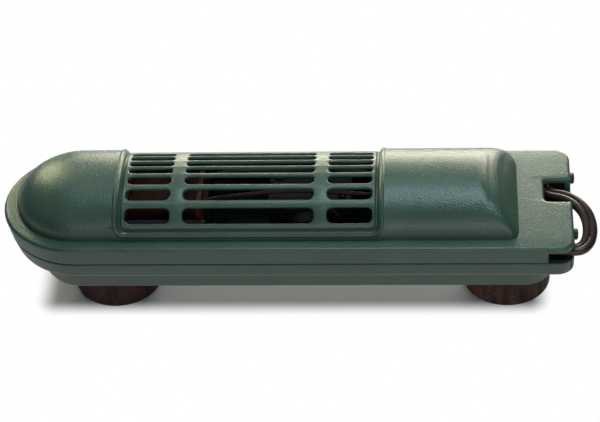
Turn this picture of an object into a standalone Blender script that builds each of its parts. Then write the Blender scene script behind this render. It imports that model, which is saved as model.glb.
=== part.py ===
"""Aquarium air pump: a long vented housing on two rubber feet, with an electromagnet that swings two arms.

Each arm works a diaphragm on one side of a valve box. Units are metres, +Z is up, +X points to the cord end,
-Y is the front. The origin is at the bottom centre of the housing, feet and screw heads included.
"""

import math

import bmesh
import bpy
import numpy as np
from mathutils import Matrix, Vector

# Housing
LENGTH = 0.250
WIDTH = 0.070
CORNER_R = 0.007
WALL = 0.0025
FLOOR = 0.0025
CLEAR = 0.0003
FOOT_H = 0.0186
PLINTH_H = 0.013
RIM_H = 0.007
COVER_H = 0.008
PLINTH_INSET = 0.009
PLINTH_CORNER_R = 0.012
PLINTH_CHAMFER = 0.0015
RIM_CHAMFER = 0.0015
DECK_ROUND = 0.0015
INNER_CORNER_R = 0.0045

# Dome on the deck, with its recessed vent panel
DOME_HALF = 0.0283
DOME_H = 0.0163
DOME_POWER = 2.15
NOSE_MARGIN = 0.006
DOME_END_MARGIN = 0.0236
DOME_END_RUN = 0.0124
PANEL_START = 0.053
PANEL_END = 0.1668
PANEL_DEPTH = 0.0012
PANEL_BEVEL = 0.0016
PANEL_RISE = 0.003

# Vent slots as (place, size): rows round the arch from its crown to the front, columns from the left end
SLOT_ROWS = (
    (0.0245, 0.0078),
    (0.0135, 0.0062),
    (0.0049, 0.0054),
    (-0.0018, 0.0038),
    (-0.0070, 0.0034),
    (-0.0121, 0.0034),
    (-0.0170, 0.0032),
)
SLOT_COLUMNS = ((0.0565, 0.0194), (0.0816, 0.0566), (0.1440, 0.0194))
SLOT_CORNER_R = 0.0027
SLOT_REACH = 0.0015

# Cord openings in the right end
NOTCH_DEPTH = 0.0135
NOTCH_WIDTH = 0.0185
NOTCH_Y = 0.0058
NOTCH_DROP = 0.0065
NOTCH_R = 0.003
CORNER_CUT_LENGTH = 0.0114
CORNER_CUT_DEPTH = 0.011
CORNER_CUT_H = 0.005
CORD_SADDLE = 0.0016

# Feet and fasteners
FOOT_R = 0.0193
FOOT_LEFT_MARGIN = 0.047
FOOT_RIGHT_MARGIN = 0.0280
FOOT_BORE_R = 0.006
FOOT_BORE_H = 0.0096
FOOT_EDGE = 0.0012
FOOT_SCREW_R = 0.002
FOOT_SCREW_HEAD_R = 0.0042
FOOT_SCREW_HEAD_H = 0.0024
FOOT_SCREW_REACH = 0.010
HEAD_PROUD = 0.002
END_SCREW_Y = 0.0195
END_SCREW_DROP = 0.0045
END_SCREW_R = 0.0015
END_SCREW_HEAD_R = 0.0025
END_SCREW_REACH = 0.0055
END_TAB_HALF = 0.004
END_TAB_T = 0.0035
COVER_SCREW_R = 0.0015
COVER_SCREW_HEAD_R = 0.0032
COVER_SCREW_HEAD_H = 0.002
COVER_SCREW_REACH = 0.010
COVER_SCREW_SINK = 0.001
COVER_SCREW_LEFT_MARGIN = 0.019
COVER_SCREW_Y = 0.017
POST_R = 0.005
COVER_BOSS_R = 0.004
BOSS_R = 0.0045
SCREW_FIT = 0.0003
HEAD_TOP_SHARE = 0.7
HEAD_EDGE_SHARE = 0.5

# Electromagnet
MECH_LIFT = 0.0005
CORE_MARGIN = 0.046
CORE_LENGTH = 0.0445
CORE_YOKE = 0.008
CORE_STACK = 0.018
CORE_LEG = 0.006
CORE_SIDE_GAP = 0.0015
CORE_MID_HALF = 0.0055
CORE_SCREW_R = 0.0015
CORE_SCREW_HEAD_R = 0.0027
CORE_SCREW_HEAD_H = 0.002
CORE_SCREW_REACH = 0.005
CRADLE_T = 0.004
BOBBIN_HALF_Z = 0.0145
BOBBIN_FLANGE = 0.002
BOBBIN_WALL = 0.0012
BOBBIN_GAP = 0.0005
POLE_MARGIN = 0.002
WINDING_MARGIN = 0.0017
WINDING_ROUND = 0.003

# Valve box and the pump on each side of it
VALVE_OFFSET = 0.010
VALVE_LENGTH = 0.036
VALVE_HALF = 0.009
VALVE_TOP = 0.012
VALVE_WALL = 0.0025
PLENUM_HALF = 0.0036
PLENUM_RIB = 0.003
POCKET_R = 0.0095
POCKET_DEPTH = 0.0022
LID_T = 0.002
LID_SCREW_R = 0.001
LID_SCREW_HEAD_R = 0.0019
LID_SCREW_HEAD_H = 0.0013
LID_SCREW_REACH = 0.006
LID_SCREW_END = 0.004
LID_SCREW_Y = 0.0063
EAR_LENGTH = 0.008
EAR_WIDTH = 0.009
EAR_T = 0.0025
EAR_LIFT = 0.0055
EAR_BOSS_R = 0.0035
EAR_SCREW_R = 0.0015
EAR_SCREW_HEAD_R = 0.0028
EAR_SCREW_HEAD_H = 0.0018
EAR_SCREW_REACH = 0.004
FLAP_SIZE = 0.0065
FLAP_T = 0.0006
PORT_R = 0.002
DIAPHRAGM_R = 0.0142
DIAPHRAGM_FLANGE_T = 0.0015
DIAPHRAGM_RISE = 0.006
DIAPHRAGM_SKIN = 0.0011
DIAPHRAGM_TOP_R = 0.0075
RING_BORE_R = 0.0113
RING_T = 0.002
HUB_R = 0.006
HUB_T = 0.002
HUB_STUD_R = 0.0016
HUB_NUT_R = 0.0032
HUB_NUT_T = 0.002

# Swinging arms
PIVOT_OFFSET = 0.036
PIN_R = 0.0015
PIN_SINK = 0.009
ARM_FIT = 0.0001
ARM_T = 0.003
ARM_H = 0.007
ARM_EYE_R = 0.0043
MAGNET_LENGTH = 0.0075
MAGNET_WIDTH = 0.012
MAGNET_H = 0.008
MAGNET_GAP = 0.0015
MAGNET_PLATE_T = 0.002
PIVOT_POST_R = 0.004
STRAP_T = 0.002
STRAP_MARGIN = 0.004
STRAP_SCREW_OFFSET = 0.008
STRAP_SCREW_R = 0.0015
STRAP_SCREW_HEAD_R = 0.0028
STRAP_SCREW_HEAD_H = 0.0018
STRAP_SCREW_REACH = 0.008
COVER_SCREW_OFFSET = 0.018

# Air outlet on the rear of the plinth
OUTLET_OFFSET = 0.014
OUTLET_RISE = 0.0045
SPIGOT_R = 0.0022
SPIGOT_GAP = 0.0026
HOSE_WALL = 0.0009
NOZZLE_NECK_R = 0.003
NOZZLE_FLANGE_R = 0.0042
NOZZLE_FLANGE_T = 0.0016
NOZZLE_BORE_R = 0.0012
NOZZLE_BARBS = 3
BARB_PITCH = 0.0026
BARB_R = 0.0026

# Wiring inside
WIRE_R = 0.0009
LEAD_Y = 0.008
LEAD_RUN = 0.010
LEAD_LIFT = 0.0037
LEAD_SPREAD = 0.0008
SPLICE_R = 0.0026
SPLICE_LENGTH = 0.014
SPLICE_END_R = 0.0021
SPLICE_EDGE = 0.001
SPLICE_MARGIN = 0.0124
SPLICE_DROP = 0.001
GLAND_LENGTH = 0.008
GLAND_R = 0.0032
GLAND_COLLAR_R = 0.0038
GLAND_COLLAR_T = 0.0024
GLAND_BULKHEAD_T = 0.0025
GLAND_MARGIN = 0.0140
GLAND_INSET = 0.008
GLAND_Z = 0.0400
BULKHEAD_HALF = 0.0048

# Cord, hank and plug
CORD_R = 0.0026
HANK_X = 0.029
HANK_Y = 0.0585
HANK_HALF_RUN = 0.068
HANK_OUTER_R = 0.019
HANK_STEP = 0.0068
HANK_LAYER = 0.0058
HANK_LOOPS_PER_LAYER = 2
HANK_LOOPS = 3
HANK_WAIST = 0.06
HANK_WAIST_LENGTH = 0.025
HANK_TAIL = 0.020
LOOP_POINTS = 24
RUN_POINTS = 7
TURN_POINTS = 5
TIE_WIDTH = 0.006
TIE_T = 0.0008
PLUG_LENGTH = 0.024
PLUG_WIDTH = 0.020
PLUG_NECK_LENGTH = 0.007
PLUG_NECK_R = 0.0046
PLUG_NECK_END_R = 0.0064
PLUG_ROUND = 0.0025
BLADE_LENGTH = 0.017
BLADE_HEIGHT = 0.0063
BLADE_T = 0.0015
BLADE_SPACING = 0.0127

# Route of the free cord from the gland to the hank, chosen by hand
CORD_ROUTE = (
    (0.1103, -0.0270, 0.0400),
    (0.1162, -0.0272, 0.0400),
    (0.1222, -0.0276, 0.0400),
    (0.1268, -0.0271, 0.0403),
    (0.1298, -0.0234, 0.0408),
    (0.1311, -0.0177, 0.0415),
    (0.1309, -0.0112, 0.0423),
    (0.1290, -0.0046, 0.0430),
    (0.1250, 0.0013, 0.0433),
    (0.1204, 0.0050, 0.0432),
    (0.1152, 0.0082, 0.0422),
    (0.1122, 0.0135, 0.0408),
    (0.1117, 0.0205, 0.0402),
    (0.1130, 0.0275, 0.0400),
    (0.1158, 0.0335, 0.0398),
    (0.1173, 0.0400, 0.0371),
    (0.1177, 0.0450, 0.0285),
    (0.1172, 0.0475, 0.0187),
    (0.1150, 0.0465, 0.0099),
    (0.1105, 0.0428, 0.0050),
    (0.1040, 0.0400, 0.0038),
    (0.0973, 0.0395, 0.0037),
)
CORD_SAMPLES = 3
CORD_BEVEL_STEPS = 2
HANK_BEVEL_STEPS = 1
GAP_STEPS = 6
GAP_DIAMETERS = 4
TAIL_STEPS = 3

ROUND = 16
SMALL_ROUND = 10
WIRE_BEVEL_STEPS = 1
WIRE_SAMPLES = 3
ARC_STEPS = 16
ARCH_STEPS = 9
EDGE_STEPS = 4
CORNER_STEPS = 5
OVER = 0.001

# Levels and places worked out from the sizes above
LEFT = -(LENGTH + HEAD_PROUD) / 2
RIGHT = LEFT + LENGTH
Z_PLINTH = FOOT_H
Z_FLOOR = Z_PLINTH + FLOOR
Z_STEP = Z_PLINTH + PLINTH_H
Z_LEDGE = Z_STEP + WALL
Z_PART = Z_STEP + RIM_H
Z_DECK = Z_PART + COVER_H
Z_MECH = Z_PART + MECH_LIFT
NOSE_X = LEFT + NOSE_MARGIN + DOME_HALF
DOME_END = RIGHT - DOME_END_MARGIN
CORE_X = LEFT + CORE_MARGIN
POLE_X = CORE_X + CORE_LENGTH
CORE_LEG_OUT = WIDTH / 2 - PLINTH_INSET - WALL - CORE_SIDE_GAP
CORE_LEG_IN = CORE_LEG_OUT - CORE_LEG
BOBBIN_HALF_Y = CORE_LEG_IN - BOBBIN_GAP
VALVE_X = (LEFT + RIGHT + HEAD_PROUD) / 2 + VALVE_OFFSET
PIVOT_X = VALVE_X + PIVOT_OFFSET
STRAP_X = PIVOT_X + STRAP_SCREW_OFFSET
COVER_SCREW_X = PIVOT_X + COVER_SCREW_OFFSET
HUB_IN = VALVE_HALF + CLEAR + DIAPHRAGM_RISE + CLEAR
ARM_IN = HUB_IN + HUB_T + CLEAR
ARM_Y = ARM_IN + ARM_T / 2
FEET_X = {"left": LEFT + FOOT_LEFT_MARGIN, "right": RIGHT - FOOT_RIGHT_MARGIN}
COVER_SCREWS = (
    (LEFT + COVER_SCREW_LEFT_MARGIN, 0.0),
    (COVER_SCREW_X, -COVER_SCREW_Y),
    (COVER_SCREW_X, COVER_SCREW_Y),
)
SIDES = {"front": -1, "rear": 1}
GLAND_X = RIGHT - GLAND_MARGIN
GLAND_Y = GLAND_INSET - WIDTH / 2
OUTLET_X = VALVE_X + OUTLET_OFFSET
OUTLET_Z = Z_FLOOR + OUTLET_RISE
FLANGE_OUT = WIDTH / 2 - PLINTH_INSET - WALL - CLEAR
FLANGE_IN = FLANGE_OUT - NOZZLE_FLANGE_T
SPIGOT_LENGTH = (FLANGE_IN - VALVE_HALF - SPIGOT_GAP) / 2


def clear_scene():
    for obj in list(bpy.data.objects):
        bpy.data.objects.remove(obj, do_unlink=True)


def make_material(name, color, roughness, metallic=0.0):
    mat = bpy.data.materials.new(name)
    mat.use_nodes = True
    shader = mat.node_tree.nodes["Principled BSDF"]
    shader.inputs["Base Color"].default_value = (*color, 1.0)
    shader.inputs["Roughness"].default_value = roughness
    shader.inputs["Metallic"].default_value = metallic
    mat.diffuse_color = (*color, 1.0)
    return mat


def add_object(name, bm, mat, origin=(0, 0, 0), smooth=math.radians(40)):
    """A mesh object made from bm, which holds world coordinates, with its origin moved to the given point."""
    origin = Vector(origin)
    bm.normal_update()
    bmesh.ops.recalc_face_normals(bm, faces=bm.faces)
    bm.transform(Matrix.Translation(-origin))
    mesh = bpy.data.meshes.new(name)
    bm.to_mesh(mesh)
    bm.free()
    mesh.shade_smooth()
    mesh.set_sharp_from_angle(angle=smooth)
    if mat:
        mesh.materials.append(mat)
    obj = bpy.data.objects.new(name, mesh)
    obj.location = origin
    bpy.context.scene.collection.objects.link(obj)
    return obj


def boolean(obj, operation, *solids):
    """Adds one Boolean modifier for each bmesh, kept as a hidden helper object."""
    for solid in solids:
        number = len(obj.modifiers) + 1
        helper = add_object(f"{obj.name}_helper_{number}", solid, None)
        helper.hide_render = True
        helper.display_type = "WIRE"
        modifier = obj.modifiers.new(f"{operation.title()} {number}", "BOOLEAN")
        modifier.operation = operation
        modifier.object = helper
        modifier.solver = "EXACT"


def box(x0, x1, y0, y1, z0, z1):
    bm = bmesh.new()
    middle = Vector(((x0 + x1) / 2, (y0 + y1) / 2, (z0 + z1) / 2))
    size = Matrix.Diagonal((abs(x1 - x0), abs(y1 - y0), abs(z1 - z0), 1))
    bmesh.ops.create_cube(bm, size=1, matrix=Matrix.Translation(middle) @ size)
    return bm


def cylinder(radius, start, end, segments=ROUND, end_radius=None):
    """A round solid from start to end, a cone where end_radius is given."""
    start, end = Vector(start), Vector(end)
    run = end - start
    turn = Vector((0, 0, 1)).rotation_difference(run).to_matrix().to_4x4()
    bm = bmesh.new()
    bmesh.ops.create_cone(
        bm,
        cap_ends=True,
        segments=segments,
        radius1=radius,
        radius2=radius if end_radius is None else end_radius,
        depth=run.length,
        matrix=Matrix.Translation((start + end) / 2) @ turn,
    )
    return bm


def turned(profile, origin, axis, segments=ROUND):
    """Spins a profile of (radius, height) points round an axis. One off the axis is closed into a ring."""
    bm = bmesh.new()
    verts = [bm.verts.new((radius, 0, height)) for radius, height in profile]
    edges = [bm.edges.new(pair) for pair in zip(verts, verts[1:])]
    if profile[0][0] > 0 or profile[-1][0] > 0:
        edges.append(bm.edges.new((verts[-1], verts[0])))
    bmesh.ops.spin(
        bm, geom=verts + edges, cent=(0, 0, 0), axis=(0, 0, 1), angle=math.tau, steps=segments, use_merge=True
    )
    bmesh.ops.remove_doubles(bm, verts=bm.verts, dist=1e-6)
    turn = Vector((0, 0, 1)).rotation_difference(Vector(axis)).to_matrix().to_4x4()
    bm.transform(Matrix.Translation(Vector(origin)) @ turn)
    return bm


def merged(*solids):
    """One bmesh that holds several solids that don't touch."""
    bm = bmesh.new()
    for solid in solids:
        mesh = bpy.data.meshes.new("merged")
        solid.to_mesh(mesh)
        solid.free()
        bm.from_mesh(mesh)
        bpy.data.meshes.remove(mesh)
    return bm


def stacked(rings):
    """A closed solid through a list of rings of points, capped at both ends."""
    bm = bmesh.new()
    loops = [[bm.verts.new(point) for point in ring] for ring in rings]
    count = len(loops[0])
    for low, high in zip(loops, loops[1:]):
        for i in range(count):
            j = (i + 1) % count
            bm.faces.new((low[i], low[j], high[j], high[i]))
    bm.faces.new(list(reversed(loops[0])))
    bm.faces.new(loops[-1])
    return bm


def arc(center, radius, start, end, steps):
    """Points on an arc, with both ends."""
    angles = [math.radians(start + (end - start) * i / steps) for i in range(steps + 1)]
    return [(center[0] + radius * math.cos(a), center[1] + radius * math.sin(a)) for a in angles]


def outline(inset, corner):
    """The housing seen from above, drawn in by inset: a half round left end and two rounded right corners."""
    half = WIDTH / 2 - inset
    right = RIGHT - inset - corner
    points = arc((LEFT + WIDTH / 2, 0), half, 90, 270, ARC_STEPS)
    points += arc((right, corner - half), corner, 270, 360, CORNER_STEPS)
    points += arc((right, half - corner), corner, 0, 90, CORNER_STEPS)
    return points


def tiers(*levels):
    """A solid stacked from the outline at (inset, corner radius, height) levels."""
    return stacked([[(x, y, z) for x, y in outline(inset, corner)] for inset, corner, z in levels])


def rounded_rectangle(length, height, radius, steps=3):
    """Points of a rectangle centred on the origin with rounded corners."""
    x, y = length / 2 - radius, height / 2 - radius
    points = arc((x, -y), radius, -90, 0, steps) + arc((x, y), radius, 0, 90, steps)
    return points + arc((-x, y), radius, 90, 180, steps) + arc((-x, -y), radius, 180, 270, steps)


def arch_point(angle, half, height):
    """(y, z) on the arch, a superellipse from the front foot at 0 over the crown at a right angle."""
    power = 2 / DOME_POWER
    side = math.copysign(abs(math.cos(angle)) ** power, math.cos(angle))
    return -half * side, height * abs(math.sin(angle)) ** power


def arch_normal(y, z, half, height):
    across = math.copysign(abs(y / half) ** (DOME_POWER - 1), y) / half
    up = abs(z / height) ** (DOME_POWER - 1) / height
    size = math.hypot(across, up)
    return across / size, up / size


def arch_angles(height):
    """Angles of the front half of the arch, with one at each edge of the vent panel's bevel."""
    edges = [PANEL_RISE, PANEL_RISE + PANEL_BEVEL]
    angles = [0.0] + [math.asin((rise / height) ** (DOME_POWER / 2)) for rise in edges]
    left = math.pi / 2 - angles[-1]
    rest = [angles[-1] + left * i / ARCH_STEPS for i in range(1, ARCH_STEPS + 1)]
    return angles + rest


def dome(half, height, nose_x, end_x, run, skirt, depth):
    """The dome as one solid: round nose, arch along X and sloping flat end. depth sinks the vent panel."""
    front = [arch_point(angle, half, height) for angle in arch_angles(height)]
    crown = len(front)
    section = [(-half, -skirt)] + front + [(-y, z) for y, z in reversed(front[:-1])] + [(half, -skirt)]
    last = len(section) - 1
    panel = range(3, last - 2)

    def station(x, sunk, slope):
        verts = []
        for index, (y, z) in enumerate(section):
            place = x - slope * z / height
            if sunk and index in panel:
                across, up = arch_normal(y, z, half, height)
                y, z = y - across * sunk, z - up * sunk
            verts.append(bm.verts.new((place, y, Z_DECK + z)))
        return verts

    bm = bmesh.new()
    start, end = LEFT + PANEL_START, LEFT + PANEL_END
    places = [(nose_x, 0, 0)]
    if depth:
        places += [(start, 0, 0), (start + PANEL_BEVEL, depth, 0), (end - PANEL_BEVEL, depth, 0), (end, 0, 0)]
    places += [(end_x, 0, run)]
    stations = [station(*place) for place in places]
    for near, far in zip(stations, stations[1:]):
        for j in range(last):
            bm.faces.new((near[j], far[j], far[j + 1], near[j + 1]))

    columns = [stations[0][: crown + 1]]
    for k in range(1, ARC_STEPS):
        turn = math.pi * k / ARC_STEPS
        ring = []
        for y, z in section[:crown]:
            ring.append(bm.verts.new((nose_x + y * math.sin(turn), y * math.cos(turn), Z_DECK + z)))
        columns.append(ring + [stations[0][crown]])
    columns.append(list(reversed(stations[0][crown:])))
    for near, far in zip(columns, columns[1:]):
        for j in range(crown - 1):
            bm.faces.new((near[j], near[j + 1], far[j + 1], far[j]))
        bm.faces.new((near[crown - 1], near[crown], far[crown - 1]))

    bm.faces.new(stations[-1])
    foot = [verts[0] for verts in reversed(stations)] + [column[0] for column in columns[1:-1]]
    bm.faces.new(foot + [verts[-1] for verts in stations])
    return bm


def arch_at(distance):
    """Point and normal on the outer arch at a distance round it from the crown, positive to the front."""
    angles = np.linspace(math.pi / 2, 0.01, 400)
    points = np.array([arch_point(angle, DOME_HALF, DOME_H) for angle in angles])
    along = np.concatenate([[0], np.cumsum(np.hypot(*np.diff(points, axis=0).T))])
    y = float(np.interp(abs(distance), along, points[:, 0]))
    z = float(np.interp(abs(distance), along, points[:, 1]))
    y = math.copysign(y, -distance) if distance else 0.0
    return y, z, arch_normal(y, z, DOME_HALF, DOME_H)


def slot_cutters():
    """Every vent slot as a prism along the arch's own normal."""
    slots = []
    for place, height in SLOT_ROWS:
        y, z, (across, up) = arch_at(place)
        normal = Vector((0, across, up))
        along = Vector((0, up, -across))
        for start, length in SLOT_COLUMNS:
            middle = Vector((LEFT + start + length / 2, y, Z_DECK + z))
            radius = min(SLOT_CORNER_R, height / 2)
            flat = rounded_rectangle(length, height, radius)
            rings = []
            for lift in (-WALL - SLOT_REACH, SLOT_REACH):
                rings.append([middle + Vector((u, 0, 0)) + along * v + normal * lift for u, v in flat])
            slots.append(stacked(rings))
    return merged(*slots)


def flat_prism(points, z0, z1):
    return stacked([[(x, y, z) for x, y in points] for z in (z0, z1)])


def build_base(mat):
    """Open tray with a narrower plinth, posts and cradles that carry the mechanism, and screw holes."""
    narrow = PLINTH_INSET + WALL
    base = add_object(
        "base_shell",
        tiers(
            (PLINTH_INSET + PLINTH_CHAMFER, PLINTH_CORNER_R, Z_PLINTH),
            (PLINTH_INSET, PLINTH_CORNER_R, Z_PLINTH + PLINTH_CHAMFER),
            (PLINTH_INSET, PLINTH_CORNER_R, Z_STEP),
            (RIM_CHAMFER, CORNER_R, Z_STEP),
            (0, CORNER_R, Z_STEP + RIM_CHAMFER),
            (0, CORNER_R, Z_PART - CLEAR),
        ),
        mat,
    )
    hollow = tiers(
        (narrow, PLINTH_CORNER_R - WALL, Z_FLOOR),
        (narrow, PLINTH_CORNER_R - WALL, Z_LEDGE),
        (WALL, INNER_CORNER_R, Z_LEDGE),
        (WALL, INNER_CORNER_R, Z_PART + OVER),
    )
    boolean(base, "DIFFERENCE", hollow)

    sunk = Z_FLOOR - FLOOR / 2
    foot_boss_top = Z_PLINTH + FOOT_SCREW_REACH + OVER
    core_bottom = Z_MECH - CORE_STACK / 2 - CLEAR
    pin_top = Z_MECH - ARM_H / 2 - CLEAR
    strap_bottom = Z_MECH + ARM_H / 2 + CLEAR
    posts = [cylinder(POST_R, (x, y, sunk), (x, y, Z_PART - CLEAR)) for x, y in COVER_SCREWS]
    posts += [cylinder(BOSS_R, (x, 0, sunk), (x, 0, foot_boss_top)) for x in FEET_X.values()]
    posts += [
        cylinder(PIVOT_POST_R, (PIVOT_X, side * ARM_Y, sunk), (PIVOT_X, side * ARM_Y, pin_top))
        for side in SIDES.values()
    ]
    posts.append(cylinder(PIVOT_POST_R, (STRAP_X, 0, sunk), (STRAP_X, 0, strap_bottom - CLEAR)))
    ears = [VALVE_X + sign * (VALVE_LENGTH + EAR_LENGTH) / 2 for sign in (-1, 1)]
    ear_bottom = Z_FLOOR + EAR_LIFT
    posts += [cylinder(EAR_BOSS_R, (x, 0, sunk), (x, 0, ear_bottom - CLEAR)) for x in ears]
    boolean(base, "UNION", *posts)

    yoke_half = CORE_LEG_OUT - CLEAR
    yoke = box(CORE_X, CORE_X + CRADLE_T, -yoke_half, yoke_half, sunk, core_bottom)
    pads = [
        box(POLE_X - 2 * CRADLE_T, POLE_X - CRADLE_T, side * CORE_LEG_IN, side * yoke_half, sunk, core_bottom)
        for side in SIDES.values()
    ]
    tab_right = RIGHT - WALL - CLEAR
    tab_top = Z_DECK - WALL - CLEAR
    tabs = [
        box(
            tab_right - END_TAB_T,
            tab_right,
            side * END_SCREW_Y - END_TAB_HALF,
            side * END_SCREW_Y + END_TAB_HALF,
            Z_LEDGE - WALL / 2,
            tab_top,
        )
        for side in SIDES.values()
    ]
    bulkhead_left = GLAND_X - GLAND_LENGTH + GLAND_COLLAR_T + CLEAR
    bulkhead = box(
        bulkhead_left,
        bulkhead_left + GLAND_BULKHEAD_T,
        GLAND_Y - BULKHEAD_HALF,
        GLAND_Y + BULKHEAD_HALF,
        Z_LEDGE - WALL / 2,
        tab_top,
    )
    boolean(base, "UNION", yoke, *pads, *tabs, bulkhead)

    holes = []
    for x, y in COVER_SCREWS:
        seat = Z_PLINTH + COVER_SCREW_SINK + COVER_SCREW_HEAD_H + CLEAR
        holes.append(cylinder(COVER_SCREW_R + SCREW_FIT, (x, y, seat - OVER), (x, y, Z_PART + OVER)))
        holes.append(cylinder(COVER_SCREW_HEAD_R + SCREW_FIT, (x, y, Z_PLINTH - OVER), (x, y, seat)))
    for x in FEET_X.values():
        low, high = Z_PLINTH - OVER, foot_boss_top + OVER
        holes.append(cylinder(FOOT_SCREW_R + SCREW_FIT, (x, 0, low), (x, 0, high)))
    for side in SIDES.values():
        y = side * ARM_Y
        low, high = pin_top - PIN_SINK, pin_top + OVER
        holes.append(cylinder(PIN_R + SCREW_FIT, (PIVOT_X, y, low), (PIVOT_X, y, high)))
        tab_z = Z_DECK - END_SCREW_DROP
        y = side * END_SCREW_Y
        near, far = tab_right - END_TAB_T - OVER, tab_right + OVER
        holes.append(cylinder(END_SCREW_R + SCREW_FIT, (near, y, tab_z), (far, y, tab_z)))
        x, y = core_screw_place(side)
        low = core_bottom - CORE_SCREW_REACH - OVER
        holes.append(cylinder(CORE_SCREW_R + SCREW_FIT, (x, y, low), (x, y, core_bottom + OVER), SMALL_ROUND))
    holes.append(
        cylinder(
            STRAP_SCREW_R + SCREW_FIT,
            (STRAP_X, 0, strap_bottom - STRAP_SCREW_REACH - OVER),
            (STRAP_X, 0, strap_bottom + OVER),
        )
    )
    for x in ears:
        low = ear_bottom - EAR_SCREW_REACH - OVER
        holes.append(cylinder(EAR_SCREW_R + SCREW_FIT, (x, 0, low), (x, 0, ear_bottom + OVER)))
    wall_y = WIDTH / 2 - PLINTH_INSET
    holes.append(
        cylinder(
            NOZZLE_NECK_R + SCREW_FIT,
            (OUTLET_X, wall_y - WALL - OVER, OUTLET_Z),
            (OUTLET_X, wall_y + OVER, OUTLET_Z),
        )
    )
    holes.append(
        cylinder(
            GLAND_R + SCREW_FIT,
            (bulkhead_left - OVER, GLAND_Y, GLAND_Z),
            (bulkhead_left + GLAND_BULKHEAD_T + OVER, GLAND_Y, GLAND_Z),
        )
    )
    boolean(base, "DIFFERENCE", *holes)

    saddle = Z_PART - CLEAR - CORD_SADDLE
    front_saddle = box(
        RIGHT - WALL - OVER,
        RIGHT + OVER,
        -WIDTH / 2 + INNER_CORNER_R,
        -WIDTH / 2 + CORNER_CUT_DEPTH,
        saddle,
        Z_PART + OVER,
    )
    rear_saddle = box(
        RIGHT - CORNER_CUT_LENGTH,
        RIGHT - INNER_CORNER_R,
        WIDTH / 2 - WALL - OVER,
        WIDTH / 2 + OVER,
        saddle,
        Z_PART + OVER,
    )
    boolean(base, "DIFFERENCE", front_saddle, rear_saddle)


def build_cover(mat):
    """Hollow lid: wall, deck and dome in one shell, with vents, cord openings and screw bosses."""
    edge = []
    for step in range(EDGE_STEPS + 1):
        turn = math.pi / 2 * step / EDGE_STEPS
        inset = DECK_ROUND * (1 - math.cos(turn))
        edge.append((inset, CORNER_R - inset / 2, Z_DECK - DECK_ROUND * (1 - math.sin(turn))))
    cover = add_object("top_cover", tiers((0, CORNER_R, Z_PART), *edge), mat)
    skirt = WALL / 2
    boolean(
        cover, "UNION", dome(DOME_HALF, DOME_H, NOSE_X, DOME_END, DOME_END_RUN, skirt, PANEL_DEPTH)
    )
    boolean(
        cover,
        "DIFFERENCE",
        tiers((WALL, INNER_CORNER_R, Z_PART - OVER), (WALL, INNER_CORNER_R, Z_DECK - WALL)),
        dome(DOME_HALF - WALL, DOME_H - WALL, NOSE_X, DOME_END - WALL, DOME_END_RUN, WALL + OVER, 0),
    )
    bosses = []
    for x, y in COVER_SCREWS:
        out = math.hypot(min(x - NOSE_X, 0), y) + COVER_BOSS_R
        rise = (1 - (out / DOME_HALF) ** DOME_POWER) ** (1 / DOME_POWER)
        top = Z_DECK + DOME_H * rise - WALL / 2
        bosses.append(cylinder(COVER_BOSS_R, (x, y, Z_PART + CLEAR), (x, y, top)))
    boolean(cover, "UNION", *bosses)
    boolean(cover, "DIFFERENCE", slot_cutters())

    turn_x = RIGHT - NOTCH_DEPTH + NOTCH_R
    near, far = NOTCH_Y - NOTCH_WIDTH / 2, NOTCH_Y + NOTCH_WIDTH / 2
    notch = arc((turn_x, far - NOTCH_R), NOTCH_R, 90, 180, EDGE_STEPS)
    notch += arc((turn_x, near + NOTCH_R), NOTCH_R, 180, 270, EDGE_STEPS)
    notch += [(RIGHT + OVER, near), (RIGHT + OVER, far)]
    cuts = [flat_prism(notch, Z_DECK - NOTCH_DROP, Z_DECK + OVER)]
    for side in SIDES.values():
        outer, inner = side * (WIDTH / 2 + OVER), side * (WIDTH / 2 - CORNER_CUT_DEPTH)
        cuts.append(
            box(RIGHT - CORNER_CUT_LENGTH, RIGHT + OVER, outer, inner, Z_PART - OVER, Z_PART + CORNER_CUT_H)
        )
        y, z = side * END_SCREW_Y, Z_DECK - END_SCREW_DROP
        cuts.append(cylinder(END_SCREW_R + SCREW_FIT, (RIGHT - WALL - OVER, y, z), (RIGHT + OVER, y, z)))
    for x, y in COVER_SCREWS:
        top = Z_PART + COVER_SCREW_REACH + OVER
        cuts.append(cylinder(COVER_SCREW_R + SCREW_FIT, (x, y, Z_PART - OVER), (x, y, top)))
    boolean(cover, "DIFFERENCE", *cuts)


def screw(name, mat, head, direction, head_r, head_h, shank_r, length, segments=ROUND):
    """A round-headed screw: head is the middle of the head's underside, direction runs down the shank."""
    profile = [
        (0, -head_h),
        (head_r * HEAD_TOP_SHARE, -head_h),
        (head_r, -head_h * HEAD_EDGE_SHARE),
        (head_r, 0),
        (shank_r, 0),
        (shank_r, length),
        (0, length),
    ]
    return add_object(name, turned(profile, head, direction, segments), mat)


def build_feet(rubber, steel):
    top = Z_PLINTH - CLEAR
    for name, x in FEET_X.items():
        profile = [
            (FOOT_BORE_R, 0),
            (FOOT_R - FOOT_EDGE, 0),
            (FOOT_R, FOOT_EDGE),
            (FOOT_R, top),
            (FOOT_SCREW_R + SCREW_FIT, top),
            (FOOT_SCREW_R + SCREW_FIT, FOOT_BORE_H),
            (FOOT_BORE_R, FOOT_BORE_H),
        ]
        add_object(f"foot_{name}", turned(profile, (x, 0, 0), (0, 0, 1), 2 * ROUND), rubber)
        head = FOOT_BORE_H - CLEAR
        length = Z_PLINTH + FOOT_SCREW_REACH - head
        screw(
            f"foot_screw_{name}",
            steel,
            (x, 0, head),
            (0, 0, 1),
            FOOT_SCREW_HEAD_R,
            FOOT_SCREW_HEAD_H,
            FOOT_SCREW_R,
            length,
        )


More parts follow.
